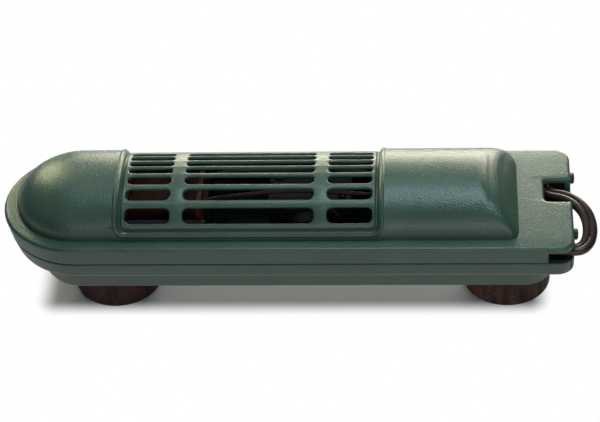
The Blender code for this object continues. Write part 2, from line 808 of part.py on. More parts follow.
def build_housing_screws(dark, steel):
    z = Z_DECK - END_SCREW_DROP
    for name, side in SIDES.items():
        head = (RIGHT + CLEAR, side * END_SCREW_Y, z)
        proud = HEAD_PROUD - CLEAR
        length = END_SCREW_REACH + CLEAR
        screw(f"end_screw_{name}", dark, head, (-1, 0, 0), END_SCREW_HEAD_R, proud, END_SCREW_R, length)
    under = Z_PLINTH + COVER_SCREW_SINK + COVER_SCREW_HEAD_H
    length = Z_PART + COVER_SCREW_REACH - under
    for name, (x, y) in zip(("left", "front", "rear"), COVER_SCREWS):
        screw(
            f"cover_screw_{name}",
            steel,
            (x, y, under),
            (0, 0, 1),
            COVER_SCREW_HEAD_R,
            COVER_SCREW_HEAD_H,
            COVER_SCREW_R,
            length,
        )


def core_screw_place(side):
    return CORE_X + CORE_YOKE / 2, side * (CORE_LEG_IN + CORE_LEG_OUT) / 2


def build_magnet_coil(iron, red, copper, steel):
    """E-shaped laminated core with its open poles towards +X, and the wound bobbin on its middle leg."""
    low, high = Z_MECH - CORE_STACK / 2, Z_MECH + CORE_STACK / 2
    back = CORE_X + CORE_YOKE
    shape = [
        (CORE_X, -CORE_LEG_OUT),
        (POLE_X, -CORE_LEG_OUT),
        (POLE_X, -CORE_LEG_IN),
        (back, -CORE_LEG_IN),
        (back, -CORE_MID_HALF),
        (POLE_X, -CORE_MID_HALF),
        (POLE_X, CORE_MID_HALF),
        (back, CORE_MID_HALF),
        (back, CORE_LEG_IN),
        (POLE_X, CORE_LEG_IN),
        (POLE_X, CORE_LEG_OUT),
        (CORE_X, CORE_LEG_OUT),
    ]
    core = add_object("core_lamination", flat_prism(shape, low, high), iron)
    places = [core_screw_place(side) for side in SIDES.values()]
    boolean(
        core,
        "DIFFERENCE",
        *[cylinder(CORE_SCREW_R + SCREW_FIT, (x, y, low - OVER), (x, y, high + OVER)) for x, y in places],
    )
    for name, (x, y) in zip(SIDES, places):
        screw(
            f"core_screw_{name}",
            steel,
            (x, y, high + CLEAR),
            (0, 0, -1),
            CORE_SCREW_HEAD_R,
            CORE_SCREW_HEAD_H,
            CORE_SCREW_R,
            CORE_STACK + CORE_SCREW_REACH,
            SMALL_ROUND,
        )

    start, end = back + BOBBIN_GAP, POLE_X - POLE_MARGIN
    tube_y = CORE_MID_HALF + CLEAR + BOBBIN_WALL
    tube_z = CORE_STACK / 2 + CLEAR + BOBBIN_WALL
    inside = box(start, end, -tube_y, tube_y, Z_MECH - tube_z, Z_MECH + tube_z)
    bobbin = add_object("coil_bobbin", inside, red)
    y, z0, z1 = BOBBIN_HALF_Y, Z_MECH - BOBBIN_HALF_Z, Z_MECH + BOBBIN_HALF_Z
    boolean(
        bobbin,
        "UNION",
        box(start, start + BOBBIN_FLANGE, -y, y, z0, z1),
        box(end - BOBBIN_FLANGE, end, -y, y, z0, z1),
    )
    bore_y, bore_z = CORE_MID_HALF + CLEAR, CORE_STACK / 2 + CLEAR
    boolean(
        bobbin,
        "DIFFERENCE",
        box(start - OVER, end + OVER, -bore_y, bore_y, Z_MECH - bore_z, Z_MECH + bore_z),
    )

    first, last = start + BOBBIN_FLANGE + CLEAR, end - BOBBIN_FLANGE - CLEAR
    gap_y, gap_z = tube_y + CLEAR, tube_z + CLEAR
    out_y, out_z = BOBBIN_HALF_Y - WINDING_MARGIN, BOBBIN_HALF_Z - CLEAR
    flat = rounded_rectangle(2 * out_y, 2 * out_z, WINDING_ROUND)
    winding = stacked([[(x, v, Z_MECH + w) for v, w in flat] for x in (first, last)])
    coil = add_object("coil_winding", winding, copper)
    boolean(
        coil,
        "DIFFERENCE",
        box(first - OVER, last + OVER, -gap_y, gap_y, Z_MECH - gap_z, Z_MECH + gap_z),
    )


def build_valve_box(plastic, steel, rubber):
    """The block between the diaphragms: plenums under a lid, ports to each side, ears and a spigot."""
    x0, x1 = VALVE_X - VALVE_LENGTH / 2, VALVE_X + VALVE_LENGTH / 2
    bottom, top = Z_FLOOR + CLEAR, Z_MECH + VALVE_TOP
    body = add_object("valve_box", box(x0, x1, -VALVE_HALF, VALVE_HALF, bottom, top), plastic)
    ear_low = Z_FLOOR + EAR_LIFT
    half = EAR_WIDTH / 2
    ears = box(x0 - EAR_LENGTH, x1 + EAR_LENGTH, -half, half, ear_low, ear_low + EAR_T)
    spigot_end = VALVE_HALF + SPIGOT_LENGTH
    spigot = cylinder(SPIGOT_R, (OUTLET_X, VALVE_HALF - OVER, OUTLET_Z), (OUTLET_X, spigot_end, OUTLET_Z))
    boolean(body, "UNION", ears, spigot)

    rib = PLENUM_RIB / 2
    floor = OUTLET_Z - NOZZLE_BORE_R - CLEAR
    plenums = [
        box(x0 + VALVE_WALL, VALVE_X - rib, -PLENUM_HALF, PLENUM_HALF, floor, top + OVER),
        box(VALVE_X + rib, x1 - VALVE_WALL, -PLENUM_HALF, PLENUM_HALF, floor, top + OVER),
    ]
    cuts = []
    for side in SIDES.values():
        face = side * (VALVE_HALF + OVER)
        floor_y = side * (VALVE_HALF - POCKET_DEPTH)
        cuts.append(cylinder(POCKET_R, (VALVE_X, face, Z_MECH), (VALVE_X, floor_y, Z_MECH)))
        for x in (flap_x("intake"), flap_x("outlet")):
            inner = side * (PLENUM_HALF - OVER)
            cuts.append(cylinder(PORT_R, (x, face, Z_MECH), (x, inner, Z_MECH), SMALL_ROUND))
    cuts.append(
        cylinder(NOZZLE_BORE_R, (OUTLET_X, 0, OUTLET_Z), (OUTLET_X, spigot_end + OVER, OUTLET_Z), SMALL_ROUND)
    )
    ear_x = [VALVE_X + sign * (VALVE_LENGTH + EAR_LENGTH) / 2 for sign in (-1, 1)]
    for x in ear_x:
        cuts.append(
            cylinder(EAR_SCREW_R + SCREW_FIT, (x, 0, ear_low - OVER), (x, 0, ear_low + EAR_T + OVER))
        )
    lid_screws = ((x0 + LID_SCREW_END, LID_SCREW_Y), (x1 - LID_SCREW_END, -LID_SCREW_Y))
    hole_r = LID_SCREW_R + SCREW_FIT
    for x, y in lid_screws:
        low = top - LID_SCREW_REACH - OVER
        cuts.append(cylinder(hole_r, (x, y, low), (x, y, top + OVER), SMALL_ROUND))
    boolean(body, "DIFFERENCE", *plenums, *cuts)

    lid_low = top + CLEAR
    lid = add_object(
        "valve_box_lid", box(x0, x1, -VALVE_HALF, VALVE_HALF, lid_low, lid_low + LID_T), plastic
    )
    boolean(
        lid,
        "DIFFERENCE",
        *[
            cylinder(hole_r, (x, y, lid_low - OVER), (x, y, lid_low + LID_T + OVER), SMALL_ROUND)
            for x, y in lid_screws
        ],
    )
    for number, (x, y) in enumerate(lid_screws, 1):
        head = (x, y, lid_low + LID_T + CLEAR)
        length = LID_T + LID_SCREW_REACH
        screw(
            f"lid_screw_{number}",
            steel,
            head,
            (0, 0, -1),
            LID_SCREW_HEAD_R,
            LID_SCREW_HEAD_H,
            LID_SCREW_R,
            length,
            SMALL_ROUND,
        )
    for number, x in enumerate(ear_x, 1):
        head = (x, 0, ear_low + EAR_T + CLEAR)
        length = EAR_T + EAR_SCREW_REACH
        screw(
            f"valve_box_screw_{number}",
            steel,
            head,
            (0, 0, -1),
            EAR_SCREW_HEAD_R,
            EAR_SCREW_HEAD_H,
            EAR_SCREW_R,
            length,
            SMALL_ROUND,
        )
    for name, side in SIDES.items():
        build_flap(f"{name}_intake_flap", flap_x("intake"), side * (VALVE_HALF - POCKET_DEPTH), side, rubber)
        build_flap(f"{name}_outlet_flap", flap_x("outlet"), side * PLENUM_HALF, -side, rubber)


def flap_x(kind):
    """Middle of a flap valve along X: the intake plenum is on the left and the outlet plenum on the right."""
    sign = {"intake": -1, "outlet": 1}[kind]
    return VALVE_X + sign * (PLENUM_RIB + FLAP_SIZE) / 2 + sign * CLEAR


def build_flap(name, x, wall, opens, rubber):
    """A square rubber flap against the wall at y, hung from its top edge and opening towards opens."""
    y0 = wall + opens * CLEAR
    y1 = y0 + opens * FLAP_T
    half = FLAP_SIZE / 2
    flap = box(x - half, x + half, y0, y1, Z_MECH - half, Z_MECH + half)
    add_object(name, flap, rubber, origin=(x, y0, Z_MECH + half))


def build_pump_side(name, side, mats):
    """Diaphragm, clamp ring, hub, nut, arm, magnet and pivot pin on one side of the valve box."""
    face = (VALVE_X, side * VALVE_HALF, Z_MECH)
    outward = (0, side, 0)
    top = CLEAR + DIAPHRAGM_RISE
    flange = CLEAR + DIAPHRAGM_FLANGE_T
    wall_r = RING_BORE_R - CLEAR
    profile = [
        (0, top),
        (DIAPHRAGM_TOP_R, top),
        (wall_r - CLEAR, flange + DIAPHRAGM_SKIN),
        (wall_r, flange),
        (DIAPHRAGM_R, flange),
        (DIAPHRAGM_R, CLEAR),
        (wall_r - DIAPHRAGM_SKIN, CLEAR),
        (wall_r - DIAPHRAGM_SKIN - CLEAR, flange),
        (DIAPHRAGM_TOP_R - DIAPHRAGM_SKIN / 2, top - DIAPHRAGM_SKIN),
        (0, top - DIAPHRAGM_SKIN),
    ]
    add_object(f"{name}_diaphragm", turned(profile, face, outward), mats["rubber"])
    low = flange + CLEAR
    ring = [(RING_BORE_R, low), (DIAPHRAGM_R, low), (DIAPHRAGM_R, low + RING_T), (RING_BORE_R, low + RING_T)]
    add_object(f"{name}_clamp_ring", turned(ring, face, outward), mats["plastic"])

    nut_low = ARM_IN + ARM_T + CLEAR - VALVE_HALF
    hub_low = HUB_IN - VALVE_HALF
    hub = [
        (0, hub_low),
        (HUB_R, hub_low),
        (HUB_R, hub_low + HUB_T),
        (HUB_STUD_R, hub_low + HUB_T),
        (HUB_STUD_R, nut_low + HUB_NUT_T),
        (0, nut_low + HUB_NUT_T),
    ]
    pivot = (PIVOT_X, side * ARM_Y, Z_MECH)
    add_object(f"{name}_hub", turned(hub, face, outward), mats["steel"], origin=pivot)
    nut_in = HUB_STUD_R + SCREW_FIT
    nut_out = nut_low + HUB_NUT_T
    nut = [(nut_in, nut_low), (HUB_NUT_R, nut_low), (HUB_NUT_R, nut_out), (nut_in, nut_out)]
    add_object(f"{name}_hub_nut", turned(nut, face, outward, 6), mats["steel"], origin=pivot)
    build_arm(name, side, pivot, mats)


def build_arm(name, side, pivot, mats):
    """A bar from the pivot to the magnet plate, with an eye on the pin and a hole for the hub's stud."""
    y0, y1 = side * ARM_IN, side * (ARM_IN + ARM_T)
    z0, z1 = Z_MECH - ARM_H / 2, Z_MECH + ARM_H / 2
    magnet_x = POLE_X + MAGNET_GAP
    plate_x = magnet_x + MAGNET_LENGTH + CLEAR
    plate_end = plate_x + MAGNET_PLATE_T
    arm = add_object(f"{name}_arm", box(plate_end - OVER, PIVOT_X, y0, y1, z0, z1), mats["arm"], origin=pivot)
    across = MAGNET_WIDTH / 2
    up = MAGNET_H / 2
    middle = side * ARM_Y
    plate = box(plate_x, plate_end, middle - across, middle + across, Z_MECH - up, Z_MECH + up)
    eye = cylinder(ARM_EYE_R, (PIVOT_X, middle, z0), (PIVOT_X, middle, z1))
    boolean(arm, "UNION", plate, eye)
    pin_hole = cylinder(PIN_R + ARM_FIT, (PIVOT_X, middle, z0 - OVER), (PIVOT_X, middle, z1 + OVER))
    stud_hole = cylinder(
        HUB_STUD_R + SCREW_FIT, (VALVE_X, y0 - side * OVER, Z_MECH), (VALVE_X, y1 + side * OVER, Z_MECH)
    )
    boolean(arm, "DIFFERENCE", pin_hole, stud_hole)
    magnet = box(magnet_x, plate_x - CLEAR, middle - across, middle + across, Z_MECH - up, Z_MECH + up)
    add_object(f"{name}_magnet", magnet, mats["magnet"], origin=pivot)
    pin_top = z1 + CLEAR + STRAP_T
    pin = cylinder(PIN_R, (PIVOT_X, middle, z0 - PIN_SINK), (PIVOT_X, middle, pin_top))
    add_object(f"{name}_pivot_pin", pin, mats["steel"])


def build_strap(plastic, steel):
    """A flat strap over both pivot pins, screwed to the post between them."""
    low = Z_MECH + ARM_H / 2 + CLEAR
    high = low + STRAP_T
    reach = ARM_Y + STRAP_MARGIN
    end = STRAP_X + STRAP_MARGIN
    strap = add_object("pivot_strap", box(PIVOT_X - STRAP_MARGIN, end, -reach, reach, low, high), plastic)
    holes = [
        cylinder(PIN_R + SCREW_FIT, (PIVOT_X, side * ARM_Y, low - OVER), (PIVOT_X, side * ARM_Y, high + OVER))
        for side in SIDES.values()
    ]
    holes.append(cylinder(STRAP_SCREW_R + SCREW_FIT, (STRAP_X, 0, low - OVER), (STRAP_X, 0, high + OVER)))
    boolean(strap, "DIFFERENCE", *holes)
    head = (STRAP_X, 0, high + CLEAR)
    length = STRAP_T + STRAP_SCREW_REACH
    screw(
        "strap_screw",
        steel,
        head,
        (0, 0, -1),
        STRAP_SCREW_HEAD_R,
        STRAP_SCREW_HEAD_H,
        STRAP_SCREW_R,
        length,
        SMALL_ROUND,
    )


def build_outlet(hose_mat, plastic):
    """Barbed nozzle through the plinth's rear wall, and the short hose to it from the valve box."""
    wall = WIDTH / 2 - PLINTH_INSET
    inner = FLANGE_IN - SPIGOT_LENGTH
    profile = [
        (NOZZLE_BORE_R, inner),
        (SPIGOT_R, inner),
        (SPIGOT_R, FLANGE_IN),
        (NOZZLE_FLANGE_R, FLANGE_IN),
        (NOZZLE_FLANGE_R, FLANGE_OUT),
        (NOZZLE_NECK_R, FLANGE_OUT),
        (NOZZLE_NECK_R, wall + CLEAR),
    ]
    for number in range(NOZZLE_BARBS):
        start = wall + CLEAR + number * BARB_PITCH
        profile += [(BARB_R, start), (SPIGOT_R, start + BARB_PITCH)]
    profile.append((NOZZLE_BORE_R, profile[-1][1]))
    axis_point = (OUTLET_X, 0, OUTLET_Z)
    add_object("outlet_nozzle", turned(profile, axis_point, (0, 1, 0), SMALL_ROUND), plastic)
    bore = SPIGOT_R + CLEAR
    start, end = VALVE_HALF + CLEAR, FLANGE_IN - CLEAR
    skin = bore + HOSE_WALL
    hose = [(bore, start), (skin, start), (skin, end), (bore, end)]
    add_object("air_hose", turned(hose, axis_point, (0, 1, 0), SMALL_ROUND), hose_mat)


def smooth_route(points, samples):
    """A Catmull-Rom curve through the points, with the given number of steps between two of them."""
    places = np.array(points, float)
    ends = np.vstack([2 * places[0] - places[1], places, 2 * places[-1] - places[-2]])
    t = np.linspace(0, 1, samples, endpoint=False)[:, None]
    route = []
    for p0, p1, p2, p3 in zip(ends, ends[1:], ends[2:], ends[3:]):
        cubic = (3 * p1 - p0 - 3 * p2 + p3) * t**3
        route.append((2 * p1 + (p2 - p0) * t + (2 * p0 - 5 * p1 + 4 * p2 - p3) * t**2 + cubic) / 2)
    return np.vstack([*route, places[-1:]])


def tube(name, points, radius, mat, bevel_resolution):
    curve = bpy.data.curves.new(name, "CURVE")
    curve.dimensions = "3D"
    curve.bevel_depth = radius
    curve.bevel_resolution = bevel_resolution
    curve.use_fill_caps = True
    spline = curve.splines.new("POLY")
    spline.points.add(len(points) - 1)
    for slot, place in zip(spline.points, points):
        slot.co = (*place, 1.0)
    curve.materials.append(mat)
    obj = bpy.data.objects.new(name, curve)
    bpy.context.scene.collection.objects.link(obj)
    return obj


def least_gap(points, radius):
    """Least clear distance between stretches of one tube that are over 4 diameters apart along it."""
    places = np.array(points, float)
    share = np.linspace(0, 1, GAP_STEPS, endpoint=False)[:, None]
    fine = np.vstack([a + (b - a) * share for a, b in zip(places, places[1:])])
    along = np.concatenate([[0], np.cumsum(np.linalg.norm(np.diff(fine, axis=0), axis=1))])
    apart = np.linalg.norm(fine[:, None] - fine[None], axis=2)
    apart[np.abs(along[:, None] - along[None]) < GAP_DIAMETERS * 2 * radius] = np.inf
    return float(apart.min() - 2 * radius)


def build_wiring(light, red, dark):
    """Coil leads over the valve box, splices to the cord's conductors, and the cord's strain relief."""
    flange = POLE_X - POLE_MARGIN
    crown = Z_MECH + VALVE_TOP + LID_T
    splice_end = DOME_END - SPLICE_MARGIN
    splice_x = splice_end - SPLICE_LENGTH
    splice_z = Z_DECK - SPLICE_DROP
    gland_left = GLAND_X - GLAND_LENGTH
    for name, side in SIDES.items():
        y = side * LEAD_Y
        lead = smooth_route(
            (
                (flange + CLEAR, y, Z_MECH + BOBBIN_HALF_Z - 2 * WIRE_R),
                (flange + LEAD_RUN, y + side * LEAD_SPREAD, crown + LEAD_LIFT / 2),
                (VALVE_X - LEAD_RUN, y - side * LEAD_SPREAD, crown + LEAD_LIFT),
                (VALVE_X + LEAD_RUN, y, crown + LEAD_LIFT),
                (PIVOT_X, y - side * LEAD_SPREAD, crown),
                (splice_x - LEAD_RUN, y, splice_z),
                (splice_x - CLEAR, y, splice_z),
            ),
            WIRE_SAMPLES,
        )
        tube(f"{name}_coil_lead", lead, WIRE_R, light, WIRE_BEVEL_STEPS)
        splice = [(0, 0), (SPLICE_END_R, 0), (SPLICE_R, SPLICE_EDGE), (SPLICE_R, SPLICE_LENGTH - SPLICE_EDGE)]
        splice += [(SPLICE_END_R, SPLICE_LENGTH), (0, SPLICE_LENGTH)]
        add_object(
            f"{name}_splice", turned(splice, (splice_x, y, splice_z), (1, 0, 0), SMALL_ROUND), red
        )
        level = GLAND_Z + side * 1.6 * WIRE_R
        middle = (splice_end + gland_left) / 2 + side * SPLICE_R
        conductor = smooth_route(
            (
                (splice_end + CLEAR, y, splice_z),
                (splice_end + 2 * WIRE_R, y, splice_z),
                (splice_end + SPLICE_R * (2.5 + side), y - SPLICE_R, splice_z - WIRE_R),
                (middle, (y + GLAND_Y) / 2, GLAND_Z + 2 * WIRE_R * (1 + side)),
                (gland_left - 5 * WIRE_R, GLAND_Y, level),
                (gland_left - 2 * WIRE_R, GLAND_Y, level),
                (gland_left - CLEAR, GLAND_Y, level),
            ),
            WIRE_SAMPLES,
        )
        tube(f"{name}_conductor", conductor, WIRE_R, dark, WIRE_BEVEL_STEPS)
    gland = [
        (0, 0),
        (GLAND_COLLAR_R, 0),
        (GLAND_COLLAR_R, GLAND_COLLAR_T),
        (GLAND_R, GLAND_COLLAR_T),
        (GLAND_R, GLAND_LENGTH),
        (0, GLAND_LENGTH),
    ]
    add_object("strain_relief", turned(gland, (gland_left, GLAND_Y, GLAND_Z), (1, 0, 0)), dark)


def hank_radius(turns):
    inner = HANK_OUTER_R - HANK_STEP * HANK_LOOPS_PER_LAYER
    return inner + HANK_STEP * abs(turns - HANK_LOOPS_PER_LAYER)


def hank_path():
    """Long loops that spiral in on the lower layer, climb and spiral out again, then a tail to the plug."""
    low = TIE_T + CLEAR + CORD_R
    points = []
    for step in range(HANK_LOOPS * LOOP_POINTS + RUN_POINTS + 1):
        turns, part = divmod(step, LOOP_POINTS)
        radius = hank_radius(step / LOOP_POINTS)
        half_loop = RUN_POINTS + TURN_POINTS
        way = -1 if part < half_loop else 1
        part %= half_loop
        if part <= RUN_POINTS:
            x, y = HANK_HALF_RUN * (1 - 2 * part / RUN_POINTS), -radius
        else:
            turn = math.pi * (part - RUN_POINTS) / TURN_POINTS
            x, y = -HANK_HALF_RUN - radius * math.sin(turn), -radius * math.cos(turn)
        x, y = -way * x, -way * y
        drawn = 1 - HANK_WAIST * math.exp(-((x / HANK_WAIST_LENGTH) ** 2))
        climb = min(max((step / LOOP_POINTS - HANK_LOOPS_PER_LAYER) * 2 + 0.5, 0), 1)
        climb = climb * climb * (3 - 2 * climb)
        points.append((HANK_X + x, HANK_Y + y * drawn, low + HANK_LAYER * climb))
    x, y, z = points[-1]
    points += [(x - HANK_TAIL * step / TAIL_STEPS, y, z) for step in range(1, TAIL_STEPS + 1)]
    return points


def build_cord(mat, tie_mat, brass):
    route = smooth_route(CORD_ROUTE, CORD_SAMPLES)
    tube("cord_run", route, CORD_R, mat, CORD_BEVEL_STEPS)
    path = hank_path()
    tube("cord_hank", path, CORD_R, mat, HANK_BEVEL_STEPS)
    print(f"cord_run least gap to itself {least_gap(route, CORD_R) * 1000:.2f} mm")
    print(f"cord_hank least gap to itself {least_gap(path, CORD_R) * 1000:.2f} mm")
    length = sum(np.linalg.norm(np.diff(np.array(line), axis=0), axis=1).sum() for line in (route, path))
    print(f"cord length from the gland to the plug {length:.3f} m")

    places = np.array(path)
    waist = places[np.abs(places[:, 0] - HANK_X) < HANK_HALF_RUN / RUN_POINTS + OVER]
    reach = CORD_R + CLEAR
    y0, y1 = waist[:, 1].min() - reach, waist[:, 1].max() + reach
    z0, z1 = TIE_T, waist[:, 2].max() + reach
    half = TIE_WIDTH / 2
    start, end = HANK_X - half, HANK_X + half
    tie = add_object("cord_tie", box(start, end, y0 - TIE_T, y1 + TIE_T, 0, z1 + TIE_T), tie_mat)
    boolean(tie, "DIFFERENCE", box(start - OVER, end + OVER, y0, y1, z0, z1))

    x, y, z = path[-1]
    neck = x - CLEAR
    body_end = neck - PLUG_NECK_LENGTH
    face = body_end - PLUG_LENGTH
    plug = add_object(
        "plug_body", box(face, body_end, y - PLUG_WIDTH / 2, y + PLUG_WIDTH / 2, 0, 2 * z), mat
    )
    rounding = plug.modifiers.new("Rounded edges", "BEVEL")
    rounding.width = PLUG_ROUND
    rounding.segments = 2
    flare = cylinder(PLUG_NECK_R, (neck, y, z), (body_end - PLUG_ROUND, y, z), end_radius=PLUG_NECK_END_R)
    boolean(plug, "UNION", flare)
    for name, side in SIDES.items():
        middle = y + side * BLADE_SPACING / 2
        blade = box(
            face - CLEAR - BLADE_LENGTH,
            face - CLEAR,
            middle - BLADE_T / 2,
            middle + BLADE_T / 2,
            z - BLADE_HEIGHT / 2,
            z + BLADE_HEIGHT / 2,
        )
        add_object(f"plug_blade_{name}", blade, brass)


def main():
    clear_scene()
    green = make_material("Green moulded plastic", (0.035, 0.085, 0.06), 0.42)
    dark_green = make_material("Dark green moulded plastic", (0.025, 0.06, 0.045), 0.45)
    black = make_material("Black screw", (0.02, 0.02, 0.02), 0.4, 0.6)
    steel = make_material("Zinc steel", (0.55, 0.55, 0.52), 0.35, 1.0)
    rubber = make_material("Dark rubber", (0.035, 0.022, 0.02), 0.5)
    soft_rubber = make_material("Soft black rubber", (0.03, 0.03, 0.03), 0.7)
    iron = make_material("Laminated iron", (0.22, 0.2, 0.2), 0.5, 0.8)
    red = make_material("Red moulding", (0.32, 0.07, 0.04), 0.5)
    copper = make_material("Varnished copper winding", (0.5, 0.2, 0.07), 0.4, 0.5)
    grey = make_material("Grey moulding", (0.16, 0.16, 0.17), 0.5)
    magnet = make_material("Ferrite magnet", (0.06, 0.06, 0.06), 0.6)
    clear_hose = make_material("Grey hose", (0.35, 0.36, 0.36), 0.4)
    light_wire = make_material("Pale wire", (0.55, 0.5, 0.42), 0.45)
    cord = make_material("Brown cord", (0.03, 0.015, 0.018), 0.3)
    tie = make_material("White tie", (0.7, 0.7, 0.68), 0.5)
    brass = make_material("Nickel blade", (0.6, 0.58, 0.5), 0.3, 1.0)

    build_base(dark_green)
    build_cover(green)
    build_feet(rubber, steel)
    build_housing_screws(black, steel)
    build_magnet_coil(iron, red, copper, steel)
    build_valve_box(grey, steel, soft_rubber)
    mats = {"rubber": soft_rubber, "plastic": grey, "steel": steel, "arm": grey, "magnet": magnet}
    for name, side in SIDES.items():
        build_pump_side(name, side, mats)
    build_strap(grey, steel)
    build_outlet(clear_hose, grey)
    build_wiring(light_wire, red, cord)
    build_cord(cord, tie, brass)


main()
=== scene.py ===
"""Looks of an aquarium air pump, laid out as a Blender add-on and run as a script.

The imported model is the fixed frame, in metres: length along X with the round end at -X, the front at -Y and
the feet on Z = 0. Each piece made here stands where its solid stands and rides on the same body.
"""

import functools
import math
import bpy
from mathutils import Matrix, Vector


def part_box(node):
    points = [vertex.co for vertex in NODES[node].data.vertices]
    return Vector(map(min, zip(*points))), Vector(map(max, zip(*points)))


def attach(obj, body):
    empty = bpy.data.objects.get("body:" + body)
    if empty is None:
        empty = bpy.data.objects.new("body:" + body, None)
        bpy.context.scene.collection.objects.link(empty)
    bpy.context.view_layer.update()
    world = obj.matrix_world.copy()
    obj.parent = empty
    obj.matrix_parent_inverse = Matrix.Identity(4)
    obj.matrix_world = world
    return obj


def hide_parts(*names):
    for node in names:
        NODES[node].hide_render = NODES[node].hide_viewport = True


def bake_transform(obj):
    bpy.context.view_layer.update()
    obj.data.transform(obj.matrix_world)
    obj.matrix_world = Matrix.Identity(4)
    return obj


bl_info = {
    "name": "Aquarium air pump",
    "version": (1, 0, 0),
    "blender": (4, 5, 0),
    "location": "3D View > Sidebar > Air pump",
    "description": "Builds the housing, the drive, the cord and the studio of an aquarium air pump",
    "category": "Add Mesh",
}

import bmesh
import bpy
import numpy as np
from mathutils import Matrix, Vector

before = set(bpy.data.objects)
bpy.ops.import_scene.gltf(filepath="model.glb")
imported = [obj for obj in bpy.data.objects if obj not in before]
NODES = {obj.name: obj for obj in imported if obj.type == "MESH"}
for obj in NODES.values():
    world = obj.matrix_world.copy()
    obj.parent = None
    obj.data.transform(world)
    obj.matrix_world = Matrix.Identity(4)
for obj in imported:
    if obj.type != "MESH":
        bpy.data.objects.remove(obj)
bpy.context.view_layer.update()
COVER_LOW, COVER_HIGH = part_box("top_cover")
BASE_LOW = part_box("base_shell")[0]
LEFT = COVER_LOW.x
RIGHT = COVER_HIGH.x
HALF_WIDTH = COVER_HIGH.y
WELD = 2e-6
STEP_SHARE = 0.0006
NOSE_COLUMNS = 65
SIDE_COLUMNS = 11
BEND_COLUMNS = 13
END_COLUMNS = 9

# Vent slots: rows as middle and height round the arch from the crown, columns as start and width from the
# left end. Cells are the grid lines between the slots, with their counts of divisions.
SLOT_ROWS = (
    (-0.0170, 0.0032),
    (-0.0121, 0.0034),
    (-0.0070, 0.0034),
    (-0.0018, 0.0038),
    (0.0049, 0.0054),
    (0.0135, 0.0062),
    (0.0245, 0.0078),
)
SLOT_COLUMNS = ((0.0565, 0.0194), (0.0816, 0.0566), (0.1440, 0.0194))
CELL_ROWS = (-0.0197, -0.0146, -0.00955, -0.0045, 0.001125, 0.0090, 0.0186, 0.0292)
SLOT_COUNTS = (8, 8, 8, 10, 9, 10, 10)
CELL_COLUMNS = (0.0555, 0.07875, 0.1411, 0.1645)

# Where the cord lies on the base's edge: in Y at the right end and in X along the rear.
FRONT_SADDLE = (-0.0305, -0.0235)
REAR_SADDLE = (0.1126, 0.1195)

PUMP_MIDDLE = (0.0, 0.0, 0.03)
FLAT_END = (0.11, 0.03, 0.045)
# Place, target, size and tint of each lamp. Its power is the stage setting of the same name.
LAMPS = {
    "back": ((0.04, 0.30, 0.11), PUMP_MIDDLE, (0.36, 0.08), (1.0, 0.95, 0.76)),
    "nose": ((-0.26, 0.30, 0.20), PUMP_MIDDLE, (0.09, 0.14), (1.0, 0.98, 0.60)),
    "rear": ((0.112, 0.125, 0.112), FLAT_END, (0.06, 0.03), (1.0, 1.0, 0.82)),
    "top": ((0.18, 0.22, 1.05), PUMP_MIDDLE, (0.65, 0.24), (0.66, 0.94, 1.0)),
    "front": ((0.2, -0.8, 0.38), PUMP_MIDDLE, (1.0, 0.5), (1.0, 1.0, 0.97)),
}

# Middle line of the cord from the gland to the start of the hank.
CORD_ROUTE = (
    (0.1103, -0.0270, 0.0400),
    (0.1162, -0.0272, 0.0400),
    (0.1222, -0.0276, 0.0400),
    (0.1268, -0.0271, 0.0403),
    (0.1298, -0.0234, 0.0408),
    (0.1311, -0.0177, 0.0415),
    (0.1309, -0.0112, 0.0423),
    (0.1290, -0.0046, 0.0430),
    (0.1250, 0.0013, 0.0433),
    (0.1204, 0.0050, 0.0432),
    (0.1152, 0.0082, 0.0422),
    (0.1122, 0.0135, 0.0408),
    (0.1117, 0.0205, 0.0402),
    (0.1130, 0.0275, 0.0400),
    (0.1158, 0.0335, 0.0398),
    (0.1173, 0.0400, 0.0371),
    (0.1177, 0.0450, 0.0285),
    (0.1172, 0.0475, 0.0187),
    (0.1150, 0.0465, 0.0099),
    (0.1105, 0.0428, 0.0050),
    (0.1040, 0.0400, 0.0038),
    (0.0973, 0.0395, 0.0037),
)


def number(description, default, **kind):
    return bpy.props.FloatProperty(description=description, default=default, precision=5, **kind)


def length(description, default):
    return number(description, default, min=0, unit="LENGTH")


def place(description, default):
    return number(description, default, unit="LENGTH")


def colour(description, default):
    kind = {"subtype": "COLOR", "size": 3, "min": 0, "max": 1}
    return bpy.props.FloatVectorProperty(description=description, default=default, **kind)


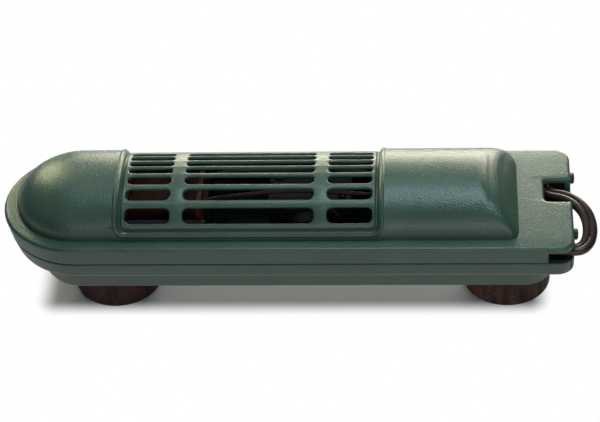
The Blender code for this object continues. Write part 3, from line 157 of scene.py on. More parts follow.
class HousingSizes(bpy.types.PropertyGroup):
    """Sizes of the moulded cover and base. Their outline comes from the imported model."""

    wall: length("Thickness of both mouldings", 0.0025)
    corner: length("Radius of the two right corners in plan", 0.007)
    deck: length("Height of the flat deck above the floor", 0.0466)
    deck_round: length("Radius of the deck's outer edge", 0.0015)
    dome_half: length("Half the width of the dome at the deck", 0.0283)
    dome_power: number("Power of the dome's arch: 2 is an ellipse", 2.15)
    nose: place("X of the axis that the dome's left end turns about", -0.0917)
    dome_end: place("X of the foot of the dome's sloping right end", 0.1004)
    end_run: length("Length over which the right end slopes", 0.0124)
    end_bulge: number("Swell of the right end past a straight slope, of its height", 0.12)
    crest_round: length("How far the crest of the right end is eased", 0.007)
    end_corner: length("Radius of the dome's right corners in plan", 0.0042)
    panel_start: length("From the left end to the vent panel", 0.053)
    panel_end: length("From the left end to the end of the vent panel", 0.1668)
    panel_depth: length("How far the vent panel lies below the dome", 0.0012)
    panel_bevel: length("Width of the vent panel's sloping border", 0.0012)
    panel_bead: length("Height of the raised bead round the vent panel", 0.0005)
    bead_width: length("Width of the raised bead round the vent panel", 0.0018)
    panel_groove: length("Depth of the groove inside the vent panel's border", 0.0009)
    panel_rise: length("Height of the vent panel's lower border above the deck", 0.003)
    panel_corner: length("Radius of the vent panel's corners", 0.004)
    slot_corner: length("Largest radius of the vent slots' corners", 0.0027)
    slot_lip: length("Radius of the rounded edge of a vent slot", 0.0007)
    cut_length: length("Length of the cut-outs at the right corners", 0.0114)
    cut_depth: length("Depth of the cut-outs at the right corners", 0.011)
    cut_height: length("Height of the cut-outs at the right corners", 0.005)
    notch_depth: length("How far the cord notch goes in from the right end", 0.0135)
    notch_width: length("Width of the cord notch", 0.0185)
    notch_middle: place("Y of the middle of the cord notch", 0.0058)
    notch_drop: length("Depth of the cord notch below the deck", 0.0065)
    notch_round: length("Radius of the cord notch's inner corners", 0.0022)
    notch_lip: length("Radius of the cord notch's rounded edge", 0.0016)
    draw_middle: length("How far the left end is drawn in at the parting line", 0.0016)
    draw_low: length("How far the left end is drawn in at the rim's lower edge", 0.0042)
    draw_plinth: length("How much further the plinth's left end is drawn in", 0.0012)
    plinth_inset: length("How far the plinth lies inside the rim", 0.009)
    plinth_edge: length("Rounding of the plinth's lower edge", 0.0006)
    plinth_corner: length("Radius of the plinth's right corners in plan", 0.012)
    rim_bottom: length("Height of the rim's lower edge", 0.0316)
    rim_edge: length("Rounding of the rim's lower edge", 0.0015)
    ledge: length("Height of the ledge inside the rim", 0.0341)
    floor_top: length("Height of the inner floor", 0.0211)
    parting: length("Gap between the base's edge and the cover's", 0.0003)
    saddle: length("How far the base's edge dips under the cord", 0.0016)


class CordSizes(bpy.types.PropertyGroup):
    """Sizes of the flat twin cord and of the hank behind the pump."""

    width: length("Width of the flat twin cord", 0.0064)
    thickness: length("Thickness of the flat twin cord", 0.0037)
    hank_x: place("X of the hank's middle", 0.029)
    hank_y: place("Y of the hank's middle", 0.0585)
    half_run: length("Half the straight run of the hank", 0.068)
    outer_round: length("Radius of the hank's outer folds", 0.019)
    step: length("Distance between turns side by side", 0.0068)
    layer: length("Distance between the hank's two layers", 0.0058)
    lowest: length("Height of the lower layer's middle", 0.0037)
    tail: length("Straight length before the plug", 0.020)
    waist: number("Share by which the tie draws the hank in", 0.06)
    waist_length: length("How far along the hank the tie is felt", 0.025)


class Colours(bpy.types.PropertyGroup):
    """Base colours of the finishes."""

    green_dark: colour("Darker green of the cover", (0.025, 0.060, 0.040))
    green_light: colour("Lighter green of the cover", (0.040, 0.088, 0.062))
    base_dark: colour("Darker green of the base", (0.020, 0.049, 0.033))
    base_light: colour("Lighter green of the base", (0.034, 0.074, 0.051))
    rubber: colour("Dark brown rubber of the feet", (0.016, 0.006, 0.006))
    # Painted highlight: the paler streaks stand in for reflections up the right foot.
    rubber_highlight: colour("Paler streaks up the feet", (0.19, 0.090, 0.060))
    soft_rubber: colour("Black rubber of diaphragms and flaps", (0.018, 0.017, 0.017))
    cord: colour("Dark brown of the cord and plug", (0.020, 0.008, 0.007))
    # Copper, red, grey, iron, wire and hose are darkened as painted shade: the drive lies in the shade inside
    # the housing.
    copper: colour("Varnished winding", (0.026, 0.008, 0.005))
    red: colour("Brick red of the bobbin and splices", (0.048, 0.009, 0.006))
    grey: colour("Grey of the valve box", (0.005, 0.005, 0.006))
    iron: colour("Laminated core and ferrite", (0.020, 0.019, 0.020))
    zinc: colour("Plated steel", (0.40, 0.40, 0.38))
    wire: colour("Insulated leads", (0.014, 0.008, 0.006))
    black: colour("Blacked steel of the end screws", (0.016, 0.015, 0.014))
    hose: colour("Dark rubber of the air hose", (0.010, 0.007, 0.007))
    tie: colour("White tie round the hank", (0.70, 0.70, 0.67))


class StageSettings(bpy.types.PropertyGroup):
    """Camera and lamps."""

    camera_x: place("Place of the camera", 0.071652)
    camera_y: place("Place of the camera", -0.783269)
    camera_z: place("Place of the camera", 0.671884)
    yaw: number("Turn of the camera from +Y towards +X", math.radians(-4.88), unit="ROTATION")
    pitch: number("Tilt of the camera below the horizon", math.radians(38.801), unit="ROTATION")
    roll: number("Turn of the camera about its own axis", math.radians(-3.329), unit="ROTATION")
    focal: number("Focal length on a 36 mm sensor", 137.1, unit="CAMERA")
    back: number("Power of the warm softbox low behind", 1.15, unit="POWER")
    nose: number("Power of the warm softbox beside the round end", 0.45, unit="POWER")
    rear: number("Power of the small softbox behind the flat end", 0.025, unit="POWER")
    top: number("Power of the cool softbox overhead", 5.2, unit="POWER")
    front: number("Power of the low softbox in front", 2.7, unit="POWER")
    world: number("Strength of the studio's soft light", 0.65)


class Shade:
    """One output of a node tree, or the bare tree. Arithmetic on it adds Math nodes."""

    def __init__(self, tree, socket=None):
        self.tree = tree
        self.socket = socket

    def feed(self, socket, value):
        if isinstance(value, Shade):
            self.tree.links.new(value.socket, socket)
        elif hasattr(value, "__len__") and len(value) == 3 and len(socket.default_value) == 4:
            socket.default_value = (*value, 1.0)
        else:
            socket.default_value = value

    def node(self, kind, settings=None, inputs=None, output=0):
        """Adds a node of this type, with its settings first and then its sockets' values or links."""
        made = self.tree.nodes.new(kind)
        for key, value in (settings or {}).items():
            setattr(made, key, value)
        for key, value in (inputs or {}).items():
            self.feed(made.inputs[key], value)
        return Shade(self.tree, made.outputs[output])

    def math(self, operation, first, second=0.0):
        return self.node("ShaderNodeMath", {"operation": operation}, {0: first, 1: second})

    def __add__(self, other):
        return self.math("ADD", self, other)

    def __sub__(self, other):
        return self.math("SUBTRACT", self, other)

    def __mul__(self, other):
        return self.math("MULTIPLY", self, other)

    def __pow__(self, other):
        return self.math("POWER", self, other)

    def __rsub__(self, other):
        return self.math("SUBTRACT", other, self)

    __radd__ = __add__
    __rmul__ = __mul__

    def away(self):
        """The value without its sign."""
        return self.math("ABSOLUTE", self)

    def part(self, axis):
        return self.node("ShaderNodeSeparateXYZ", None, {0: self}, output=axis)

    def noise(self, where, scale, detail=3.0, roughness=0.55):
        sockets = {"Vector": where, "Scale": scale, "Detail": detail, "Roughness": roughness}
        return self.node("ShaderNodeTexNoise", None, sockets)

    def pebbles(self, where, scale, smoothness=0.7):
        sockets = {"Vector": where, "Scale": scale, "Smoothness": smoothness}
        return self.node("ShaderNodeTexVoronoi", {"feature": "SMOOTH_F1"}, sockets)

    def between(self, low, high):
        """The value carried from low..high to 0..1, eased at both ends."""
        settings = {"interpolation_type": "SMOOTHSTEP"}
        return self.node("ShaderNodeMapRange", settings, {"Value": self, "From Min": low, "From Max": high})

    def mix(self, first, second):
        """From the first colour to the second as this value goes from 0 to 1."""
        return self.node("ShaderNodeMix", {"data_type": "RGBA"}, {0: self, 6: first, 7: second}, output=2)

    def bump(self, strength, distance):
        sockets = {"Height": self, "Strength": strength, "Distance": distance}
        return self.node("ShaderNodeBump", None, sockets)


def finish(recipe):
    """Makes a recipe for a Principled shader's sockets into a function that gives a material of that name.

    The recipe gets the node tree, the place on the piece and its own values.
    """

    @functools.wraps(recipe)
    def material(name, *values):
        made = bpy.data.materials.get(name)
        if made is None:
            made = bpy.data.materials.new(name)
            made.use_nodes = True
            shade = Shade(made.node_tree)
            shader = made.node_tree.nodes["Principled BSDF"]
            where = shade.node("ShaderNodeTexCoord", output="Object")
            for key, value in recipe(shade, where, *values).items():
                shade.feed(shader.inputs[key], value)
        return made

    return material


def scaled(base, by, more=0.0):
    return [min(1, channel * by + more) for channel in base]


@finish
def pebbled_plastic(shade, where, dark, light, rough, inner_shade_share):
    """Moulded plastic with a fine pebble grain: rounded cells of about half a millimetre over a finer noise.

    A share of painted shade makes it dull and dark on the inside of the right end, which the cord's openings
    show.
    """
    cells = shade.pebbles(where, 1700)
    fine = shade.noise(where, 2400, 2.0)
    clouds = shade.noise(where, 38, 4.0)
    tint = (clouds * 0.7 + fine * 0.5).between(0.35, 0.85)
    x = where.part("X")
    behind_end = x.between(0.090, 0.092) * (1.0 - x.between(0.1226, 0.1232))
    behind_sides = 1.0 - where.part("Y").away().between(0.0322, 0.0328)
    # Painted shade: a dark, dull patch inside the right end, where the cord's notch and cut-outs look in.
    painted_inner_shade = behind_end * behind_sides * where.part("Z").between(0.031, 0.032) * inner_shade_share
    return {
        "Base Color": painted_inner_shade.mix(tint.mix(dark, light), scaled(dark, 0.15)),
        "Roughness": rough + 0.10 * clouds + 0.10 * fine + 0.7 * painted_inner_shade,
        "Normal": (cells * 0.8 + fine * 0.4).bump(0.34, 0.0004),
        "Specular IOR Level": 0.5,
    }


@finish
def soft_finish(shade, where, base, rough, grain, strength, shine=0.3):
    """Plain plastic or a soft moulding: a cloudy colour and a fine matt grain of this scale."""
    fine = shade.noise(where, grain, 3.0)
    clouds = shade.noise(where, 60, 4.0)
    tint = (clouds * 0.6 + fine * 0.4).between(0.35, 0.75)
    return {
        "Base Color": tint.mix(base, scaled(base, 1.5, 0.004)),
        "Roughness": rough + 0.16 * (clouds - 0.5) + 0.1 * (fine - 0.5),
        "Normal": fine.bump(strength, 0.0002),
        "Specular IOR Level": shine,
    }


@finish
def streaked_rubber(shade, where, base, streak):
    """Moulded rubber: dark, with paler streaks of painted highlight that run up its side, most of all on the
    right foot.
    """
    tall = shade.node("ShaderNodeVectorMath", {"operation": "MULTIPLY"}, {0: where, 1: (1.0, 1.0, 0.22)})
    streaks = shade.noise(tall, 260, 3.0)
    fine = shade.noise(where, 1300, 3.0)
    patches = shade.noise(where, 55, 2.0)
    speckle = shade.noise(where, 700, 3.0)
    x = where.part("X")
    right = x.between(-0.05, 0.05) * (1.0 - 0.75 * x.between(0.076, 0.092))
    # Painted highlight: paler streaks where the right foot catches the light, broken up by speckle and
    # patches.
    painted_highlight = streaks.between(0.34, 0.60) * speckle.between(0.25, 0.55) * (0.12 + 0.88 * right)
    painted_highlight = painted_highlight * (0.4 + 0.6 * patches.between(0.3, 0.6))
    return {
        "Base Color": painted_highlight.mix(base, streak),
        "Roughness": 0.52 + 0.2 * (fine - 0.5) - 0.1 * painted_highlight,
        "Normal": (fine * 0.6 + streaks * 0.4).bump(0.3, 0.0002),
        "Specular IOR Level": 0.12,
    }


@finish
def plated_metal(shade, where, base, rough):
    """Plated steel: fine scratches stretched along one way, and cloudy wear in the gloss."""
    drawn = shade.node("ShaderNodeMapping", None, {"Vector": where, "Scale": (900.0, 5000.0, 900.0)})
    scratches = shade.noise(drawn, 1.0, 3.0)
    clouds = shade.noise(where, 220, 4.0)
    return {
        "Base Color": clouds.between(0.3, 0.7).mix(scaled(base, 0.62), base),
        "Roughness": rough + 0.18 * clouds + 0.08 * scratches,
        "Normal": scratches.bump(0.12, 0.0001),
        "Metallic": 1.0,
    }


@finish
def laminated_iron(shade, where, base):
    """A stack of thin iron sheets: dark joints every half millimetre of height, with rust-brown clouds."""
    joints = shade.math("SINE", where.part("Z") * (2 * math.pi / 0.0005))
    clouds = shade.noise(where, 160, 4.0)
    brown = (base[0] * 0.9, base[1] * 0.55, base[2] * 0.4)
    return {
        "Base Color": (clouds.between(0.4, 0.8) * 0.6).mix(base, brown),
        "Roughness": 0.42 + 0.2 * clouds,
        "Normal": joints.bump(0.5, 0.0001),
        "Metallic": 0.7,
    }


@finish
def wound_copper(shade, where, base):
    """Varnished copper wire: each turn's colour wanders a little."""
    streaks = shade.node("ShaderNodeMapping", None, {"Vector": where, "Scale": (2200.0, 120.0, 120.0)})
    turns = shade.noise(streaks, 1.0, 2.0)
    clouds = shade.noise(where, 90, 3.0)
    return {
        "Base Color": (turns * 0.6 + clouds * 0.4).between(0.3, 0.7).mix(scaled(base, 0.45), base),
        "Roughness": 0.34 + 0.2 * clouds,
        "Normal": turns.bump(0.3, 0.0001),
        "Metallic": 0.2,
        "Specular IOR Level": 0.05,
    }


@finish
def glossy_cord(shade, where, base):
    """Extruded flex: a glossy skin with long shallow waves and a faint bloom."""
    waves = shade.noise(where, 130, 3.0)
    fine = shade.noise(where, 1500, 2.0)
    return {
        "Base Color": waves.between(0.35, 0.8).mix(base, scaled(base, 2.0, 0.004)),
        "Roughness": 0.16 + 0.14 * waves + 0.06 * fine,
        "Normal": (waves * 0.8 + fine * 0.2).bump(0.12, 0.0006),
        "Specular IOR Level": 0.35,
    }


@finish
def matt_paint(shade, where, base):
    """Plain matt paint of one colour."""
    return {"Base Color": base, "Roughness": 0.9, "Specular IOR Level": 0.1}


def pairs(first, second):
    return np.stack([first, second], axis=1)


def quarter(count):
    """Angles of a quarter turn."""
    return np.linspace(0, np.pi / 2, count)


def eased(share):
    """A share from 0 to 1, eased at both ends."""
    return share * share * (3 - 2 * share)


def capped(rings, first, last):
    """Rings of points, closed by a point at either end."""
    ends = [np.broadcast_to(point, rings[:1].shape) for point in (first, last)]
    return np.concatenate([ends[0], rings, ends[1]])


def quads(rows, columns, close_rows=False, close_columns=False):
    """Quads of a grid of points numbered row by row. A closed way joins its last line to its first."""
    index = np.arange(rows * columns).reshape(rows, columns)
    if close_rows:
        index = np.vstack([index, index[:1]])
    if close_columns:
        index = np.hstack([index, index[:, :1]])
    corners = (index[:-1, :-1], index[1:, :-1], index[1:, 1:], index[:-1, 1:])
    return np.stack(corners, axis=-1)


class Skin:
    """Points and quads of one piece, gathered grid by grid."""

    def __init__(self):
        self.points = []
        self.faces = []
        self.count = 0

    def add(self, points, close_rows=False, close_columns=False, keep=None):
        """Adds a grid of points, rows by columns by 3. keep masks its quads, rows by columns."""
        rows, columns = points.shape[:2]
        faces = quads(rows, columns, close_rows, close_columns)
        faces = faces.reshape(-1, 4) if keep is None else faces[keep]
        self.points.append(points.reshape(-1, 3))
        self.faces.append(faces + self.count)
        self.count += rows * columns
        return self

    def mesh(self, name):
        """The gathered grids as one mesh, with seams and poles merged and faces turned outwards."""
        used, faces = np.unique(np.concatenate(self.faces), return_inverse=True)
        points = np.concatenate(self.points)[used]
        mesh = bpy.data.meshes.new(name)
        mesh.from_pydata(points.tolist(), [], faces.reshape(-1, 4).tolist())
        shell = bmesh.new()
        shell.from_mesh(mesh)
        bmesh.ops.remove_doubles(shell, verts=shell.verts, dist=WELD)
        bmesh.ops.recalc_face_normals(shell, faces=shell.faces)
        shell.to_mesh(mesh)
        shell.free()
        return mesh


def coat(mesh, material):
    """Gives a mesh this one material."""
    mesh.materials.clear()
    mesh.materials.append(material)


def new_piece(name, mesh, material, replaced=(), body="housing", sharp=35.0):
    """Puts a mesh in the scene as a piece, smooth but for edges sharper than this angle, on a body if any."""
    mesh.shade_smooth()
    mesh.set_sharp_from_angle(angle=math.radians(sharp))
    coat(mesh, material)
    piece = bpy.data.objects.new(name, mesh)
    bpy.context.scene.collection.objects.link(piece)
    if body:
        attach(piece, body)
    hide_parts(*replaced)
    return piece


def cut_away(mesh, cutter):
    """The mesh less another mesh, by an exact Boolean."""
    helpers = [bpy.data.objects.new("cut_helper", data) for data in (mesh, cutter)]
    for helper in helpers:
        bpy.context.scene.collection.objects.link(helper)
    target, tool = helpers
    modifier = target.modifiers.new("Cut", "BOOLEAN")
    modifier.operation = "DIFFERENCE"
    modifier.solver = "EXACT"
    modifier.object = tool
    bpy.context.view_layer.update()
    graph = bpy.context.evaluated_depsgraph_get()
    made = bpy.data.meshes.new_from_object(target.evaluated_get(graph))
    for helper in helpers:
        bpy.data.objects.remove(helper)
    return made


def joined(name, meshes):
    """Several meshes as one, each left closed by itself."""
    shell = bmesh.new()
    for mesh in meshes:
        shell.from_mesh(mesh)
    made = bpy.data.meshes.new(name)
    shell.to_mesh(made)
    shell.free()
    return made


def bullet(nose, half, right, corner, cut_x, cut_y, draw=0.0):
    """Plan outline as (columns, 2): a half circle about (nose, 0), two straights, two rounded right corners.
    draw pulls the half circle in along x, into half an ellipse.

    The columns stand at fixed shares of each stretch, so outlines of other sizes match point for point. Lines
    double at the shares cut_x of a long side and cut_y of the right end, where a cut-out starts.
    """
    turn = np.linspace(np.pi / 2, 1.5 * np.pi, NOSE_COLUMNS)
    left = pairs(nose + (half - draw) * np.cos(turn), half * np.sin(turn))
    long = np.linspace(0, cut_x, SIDE_COLUMNS + 1)[1:]
    along = np.concatenate([long, np.linspace(cut_x + STEP_SHARE, 1, 3)[:-1]])
    x = nose + (right - corner - nose) * along
    front = pairs(x, np.full_like(x, -half))
    turn = np.linspace(-np.pi / 2, 0, BEND_COLUMNS)
    bend = pairs(right - corner + corner * np.cos(turn), corner - half + corner * np.sin(turn))
    between = np.linspace(cut_y + STEP_SHARE, 1 - cut_y - STEP_SHARE, END_COLUMNS)
    up = np.concatenate([np.linspace(0, cut_y, 3)[1:], between, np.linspace(1 - cut_y, 1, 3)[:-1]])
    y = (corner - half) * (1 - 2 * up)
    end = pairs(np.full_like(y, right), y)
    mirror = (1, -1)
    return np.concatenate([left, front, bend, end, bend[::-1] * mirror, front[::-1] * mirror])


def bullet_flags():
    """1 for each column of a bullet outline that lies between the doubled lines round a right corner."""
    front = np.concatenate([np.zeros(NOSE_COLUMNS + SIDE_COLUMNS), np.ones(BEND_COLUMNS + 4)])
    return np.concatenate([front, np.zeros(END_COLUMNS), front[NOSE_COLUMNS:][::-1]])


def tiers(outlines, heights):
    """Outlines (columns, 2) stacked at heights, one number or one per column each, as (rows, columns, 3)."""
    flat = np.stack(outlines)
    z = np.stack([np.broadcast_to(height, flat.shape[1]) for height in heights])
    return np.concatenate([flat, z[:, :, None]], axis=2)


class Dome:
    """The cover's vaulted roof as a surface of x and s, the distance round its arch from the crown.

    The arch is |y / half|^p + |z / height|^p = 1, and s is positive towards the front. Beyond its foot the
    arch goes straight down. Depth is measured inwards along the arch's normal.
    """

    def __init__(self, sizes):
        self.sizes = sizes
        self.height = COVER_HIGH.z - sizes.deck
        half = sizes.dome_half
        power = sizes.dome_power
        turn = quarter(900)
        self.y = half * np.sin(turn) ** (2 / power)
        self.z = self.height * np.abs(np.cos(turn)) ** (2 / power)
        self.z[-1] = 0
        self.along = np.concatenate([[0], np.cumsum(np.hypot(np.diff(self.y), np.diff(self.z)))])
        across = (self.y / half) ** (power - 1) / half
        up = (self.z / self.height) ** (power - 1) / self.height
        size = np.hypot(across, up)
        self.across = across / size
        self.up = up / size
        self.foot = self.along[-1]

    def arch(self, s, depth):
        way = np.abs(s)
        side = np.where(s < 0, 1.0, -1.0)
        y = np.interp(way, self.along, self.y) - depth * np.interp(way, self.along, self.across)
        z = np.interp(way, self.along, self.z) - depth * np.interp(way, self.along, self.up)
        return side * y, z - np.maximum(way - self.foot, 0)

    def at_height(self, z):
        return np.interp(-z, -self.z, self.along)

    def sink(self, x, s):
        """Depth of the vent panel in a rounded rectangle of x and s: a raised bead outside it, an eased step,
        a narrow groove at the step's foot, and the level panel."""
        sizes = self.sizes
        start = LEFT + sizes.panel_start
        end = LEFT + sizes.panel_end
        inner = sizes.panel_corner
        out_x = np.abs(x - (start + end) / 2) - (end - start) / 2 + inner
        out_s = np.abs(s) - self.at_height(sizes.panel_rise) + inner
        beyond = np.hypot(np.maximum(out_x, 0), np.maximum(out_s, 0))
        beyond = beyond + np.minimum(np.maximum(out_x, out_s), 0) - inner
        share = np.clip(-beyond / sizes.panel_bevel, 0, 1)
        bead = np.clip(1 - np.abs(beyond / sizes.bead_width - 0.5) * 2, 0, 1)
        groove = np.clip(1 - np.abs(-beyond / sizes.panel_bevel - 1.1) / 0.8, 0, 1)
        raised = sizes.panel_bead * np.sin(bead * np.pi / 2)
        return sizes.panel_depth * eased(share) - raised + sizes.panel_groove * np.sin(groove * np.pi / 2)

    def skin(self, x, s, depth, end):
        """Points at x and s: the arch, cut by the right end's swelling slope with an eased crest, its corners
        rounded."""
        sizes = self.sizes
        y, z = self.arch(s, depth)
        share = (end - x) / sizes.end_run
        slope = self.height * (share + sizes.end_bulge * np.sin(np.pi * np.clip(share, 0, 1)))
        ease = sizes.crest_round
        near = np.clip(1 - np.abs(z - slope) / ease, 0, 1)
        z = np.minimum(z, slope) - near * near * ease / 4
        corner = sizes.end_corner
        into = np.clip((x - end + corner) / corner, 0, 1)
        y = y * (1 - corner * (1 - np.sqrt(1 - into * into)) / sizes.dome_half)
        return np.stack(np.broadcast_arrays(x, y, sizes.deck + z), axis=-1)

    def nose(self, s, depth, turn):
        """The half arch for s >= 0 turned about the nose's upright axis, from the front to the rear."""
        y, z = self.arch(s, depth)
        x = self.sizes.nose + y * np.sin(turn)
        return np.stack(np.broadcast_arrays(x, y * np.cos(turn), self.sizes.deck + z), axis=-1)


def slot_side(along_half, out_half, corner, count):
    """Half a rounded rectangle's side, corner middle to corner middle, as distances along and out."""
    arc = np.linspace(-np.pi / 4, 0, 4)
    start = (corner - along_half + corner * np.sin(arc), out_half - corner + corner * np.cos(arc))
    straight = np.linspace(corner - along_half, along_half - corner, count - 5)[1:-1]
    along = np.concatenate([start[0], straight, -start[0][::-1]])
    out = np.concatenate([start[1], np.full_like(straight, out_half), start[1][::-1]])
    return along[:-1], out[:-1]


def slot_loop(x_half, s_half, corner, x_count, s_count):
    """A rounded rectangle as one loop of x and s, with as many points on each side as its cell has."""
    x_along, x_out = slot_side(x_half, s_half, corner, x_count)
    s_along, s_out = slot_side(s_half, x_half, corner, s_count)
    x = np.concatenate([x_along, s_out, -x_along, -s_out])
    s = np.concatenate([-x_out, s_along, x_out, -s_along])
    return x, s


def cell_loop(x, s):
    """The border of a cell of grid lines x and s as one loop, in the order of slot_loop."""
    loop_x = np.concatenate([x[:-1], np.full(len(s) - 1, x[-1]), x[:0:-1], np.full(len(s) - 1, x[0])])
    loop_s = np.concatenate([np.full(len(x) - 1, s[0]), s[:-1], np.full(len(x) - 1, s[-1]), s[:0:-1]])
    return loop_x, loop_s


def add_slot(skin, dome, x, s, column, row):
    """One cell of the vent panel: inner face, slot wall, rounded lip and outer face, in that order."""
    sizes = dome.sizes
    start, wide = column
    middle_s, high = row
    middle_x = LEFT + start + wide / 2
    border = cell_loop(x, s)
    lip = sizes.slot_lip
    corner = min(sizes.slot_corner, 0.48 * high)
    turn = quarter(4)
    grow = np.concatenate([[0.0], lip * (1 - np.cos(turn))])
    drop = np.concatenate([[sizes.wall], lip * (1 - np.sin(turn))])
    loops = [border]
    depths = [np.full_like(border[0], sizes.wall)]
    for more, depth in zip(grow, drop):
        loop_x, loop_s = slot_loop(wide / 2 + more, high / 2 + more, corner + more, len(x) - 1, len(s) - 1)
        loops.append((middle_x + loop_x, middle_s + loop_s))
        depths.append(np.full_like(loop_x, depth))
    loops.append(border)
    depths.append(np.zeros_like(border[0]))
    rings_x = np.stack([loop[0] for loop in loops])
    rings_s = np.stack([loop[1] for loop in loops])
    depth = np.stack(depths)
    depth[2:] += dome.sink(rings_x[2:], rings_s[2:])
    skin.add(dome.skin(rings_x, rings_s, depth, sizes.dome_end), close_columns=True)


def spaced(lines, counts):
    """Grid lines through these places, each stretch divided evenly into its count."""
    steps = [np.linspace(a, b, n + 1)[:-1] for a, b, n in zip(lines, lines[1:], counts)]
    return np.concatenate([*steps, [lines[-1]]])


def dome_mesh(sizes):
    """The dome as a closed shell: outer skin with the sunk vent panel and its slots, inner skin, lower edge.

    Its lines of s hold the crown, with as many before it as after it, so that the nose meets both halves.
    """
    dome = Dome(sizes)
    skirt = 0.0012
    rear_gap = 0.003
    end_length = 0.021
    border = dome.at_height(sizes.panel_rise)
    cells_x = [LEFT + x for x in CELL_COLUMNS]
    crest = sizes.dome_end - end_length
    start = LEFT + sizes.panel_start
    end = LEFT + sizes.panel_end
    bead = sizes.bead_width
    lines_x = [sizes.nose, start - bead, start, *cells_x, end, end + bead, crest, sizes.dome_end]
    counts_x = [5, 10, 12, 16, 32, 16, 12, 10, 6, 34]
    rim = [border, border + bead, dome.foot, dome.foot + skirt]
    lines_s = [-line for line in rim[::-1]] + [rear_gap - border, *CELL_ROWS, *rim]
    counts_s = [2, 3, 10, 9, 4, *SLOT_COUNTS, 14, 10, 3, 2]
    x = spaced(lines_x, counts_x)
    s = spaced(lines_s, counts_s)
    first_x = sum(counts_x[:3])
    last_x = sum(counts_x[:6])
    first_s = sum(counts_s[:5])
    last_s = first_s + sum(SLOT_COUNTS)
    keep = np.ones((len(x) - 1, len(s) - 1), bool)
    keep[first_x:last_x, first_s:last_s] = False
    inner_end = sizes.dome_end - sizes.wall
    inner_x = x.copy()
    inner_x[x > crest] = crest + (x[x > crest] - crest) * (inner_end - crest) / (sizes.dome_end - crest)
    grid_x, grid_s = np.meshgrid(x, s, indexing="ij")
    inner_grid_x = np.meshgrid(inner_x, s, indexing="ij")[0]
    outer = dome.skin(grid_x, grid_s, dome.sink(grid_x, grid_s), sizes.dome_end)
    inner = dome.skin(inner_grid_x, grid_s, sizes.wall, inner_end)
    skin = Skin()
    skin.add(outer, keep=keep)
    skin.add(inner, keep=keep)
    i = first_x
    for column, count_x in zip(SLOT_COLUMNS, counts_x[3:6]):
        j = first_s
        for row, count_s in zip(SLOT_ROWS, SLOT_COUNTS):
            add_slot(skin, dome, x[i : i + count_x + 1], s[j : j + count_s + 1], column, row)
            j += count_s
        i += count_x
    middle = len(s) // 2
    turns = np.linspace(0, np.pi, 73)[:, None]
    halves = s[middle:] + (-s[middle::-1] - s[middle:]) * turns / np.pi
    outer_nose = dome.nose(halves, 0.0, turns)
    inner_nose = dome.nose(halves, sizes.wall, turns)
    skin.add(outer_nose)
    skin.add(inner_nose)
    for rim_out, rim_in in (
        (outer[:, 0], inner[:, 0]),
        (outer[:, -1], inner[:, -1]),
        (outer[-1], inner[-1]),
        (outer_nose[:, -1], inner_nose[:, -1]),
    ):
        skin.add(np.stack([rim_out, rim_in]))
    return skin.mesh("dome")


def deck_mesh(sizes):
    """The deck and its side wall: a profile carried round the outline, its lower edge raised at the right
    corners, less the rounded cord notch."""
    nose = LEFT + HALF_WIDTH
    side = RIGHT - sizes.corner - nose
    cut_x = (RIGHT - sizes.cut_length - nose) / side
    cut_y = (sizes.cut_depth - sizes.corner) / (2 * (HALF_WIDTH - sizes.corner))
    bottom = COVER_LOW.z + sizes.cut_height * bullet_flags()

    def ring(inset, draw=0.0):
        corner = max(sizes.corner - inset, 0)
        return bullet(nose, HALF_WIDTH - inset, RIGHT - inset, corner, cut_x, cut_y, draw)

    turn = quarter(8)
    edge = 0.0003
    insets = sizes.deck_round * (1 - np.cos(turn))
    heights = [bottom, bottom + edge, *(sizes.deck - sizes.deck_round * (1 - np.sin(turn)))]
    outlines = [ring(edge, sizes.draw_middle), ring(0.0, sizes.draw_middle)]
    outlines += [ring(inset) for inset in insets]
    under = 0.0012
    end = sizes.dome_end - under
    foot = bullet(sizes.nose, sizes.dome_half - under, end, sizes.end_corner, cut_x, cut_y)
    outlines += [foot, foot, ring(sizes.wall), ring(sizes.wall, sizes.draw_middle)]
    heights += [sizes.deck, sizes.deck - sizes.wall, sizes.deck - sizes.wall, bottom]
    deck = Skin().add(tiers(outlines, heights), close_rows=True, close_columns=True).mesh("deck")
    return cut_away(deck, notch_mesh(sizes))


def notch_mesh(sizes):
    """The cord notch as a cutter: a rectangle open to the right with two rounded inner corners, which flares
    at the top by a quarter circle, so that the deck's edge there is rounded."""
    lip = sizes.notch_lip
    turn = quarter(9)
    spare = 0.01
    far = RIGHT + spare

    def outline(grow):
        low = sizes.notch_middle - sizes.notch_width / 2 + lip - grow
        high = sizes.notch_middle + sizes.notch_width / 2 - lip + grow
        inner = RIGHT - sizes.notch_depth + lip - grow
        reach = sizes.notch_round + grow
        lower = pairs(inner + reach * (1 - np.sin(turn)), low + reach * (1 - np.cos(turn)))
        upper = pairs(lower[::-1, 0], low + high - lower[::-1, 1])
        return np.concatenate([[[far, low]], lower, upper, [[far, high]]])

    bottom = sizes.deck - sizes.notch_drop
    top = sizes.deck + spare
    flare = quarter(6)
    loops = [outline(0.0), *(outline(lip * (1 - math.cos(a))) for a in flare), outline(lip)]
    heights = [bottom, *(sizes.deck - lip * (1 - math.sin(a)) for a in flare), top]
    middle = loops[0] * 0 + loops[0].mean(axis=0)
    rows = tiers([middle, *loops, middle], [bottom, *heights, top])
    return Skin().add(rows, close_columns=True).mesh("notch")


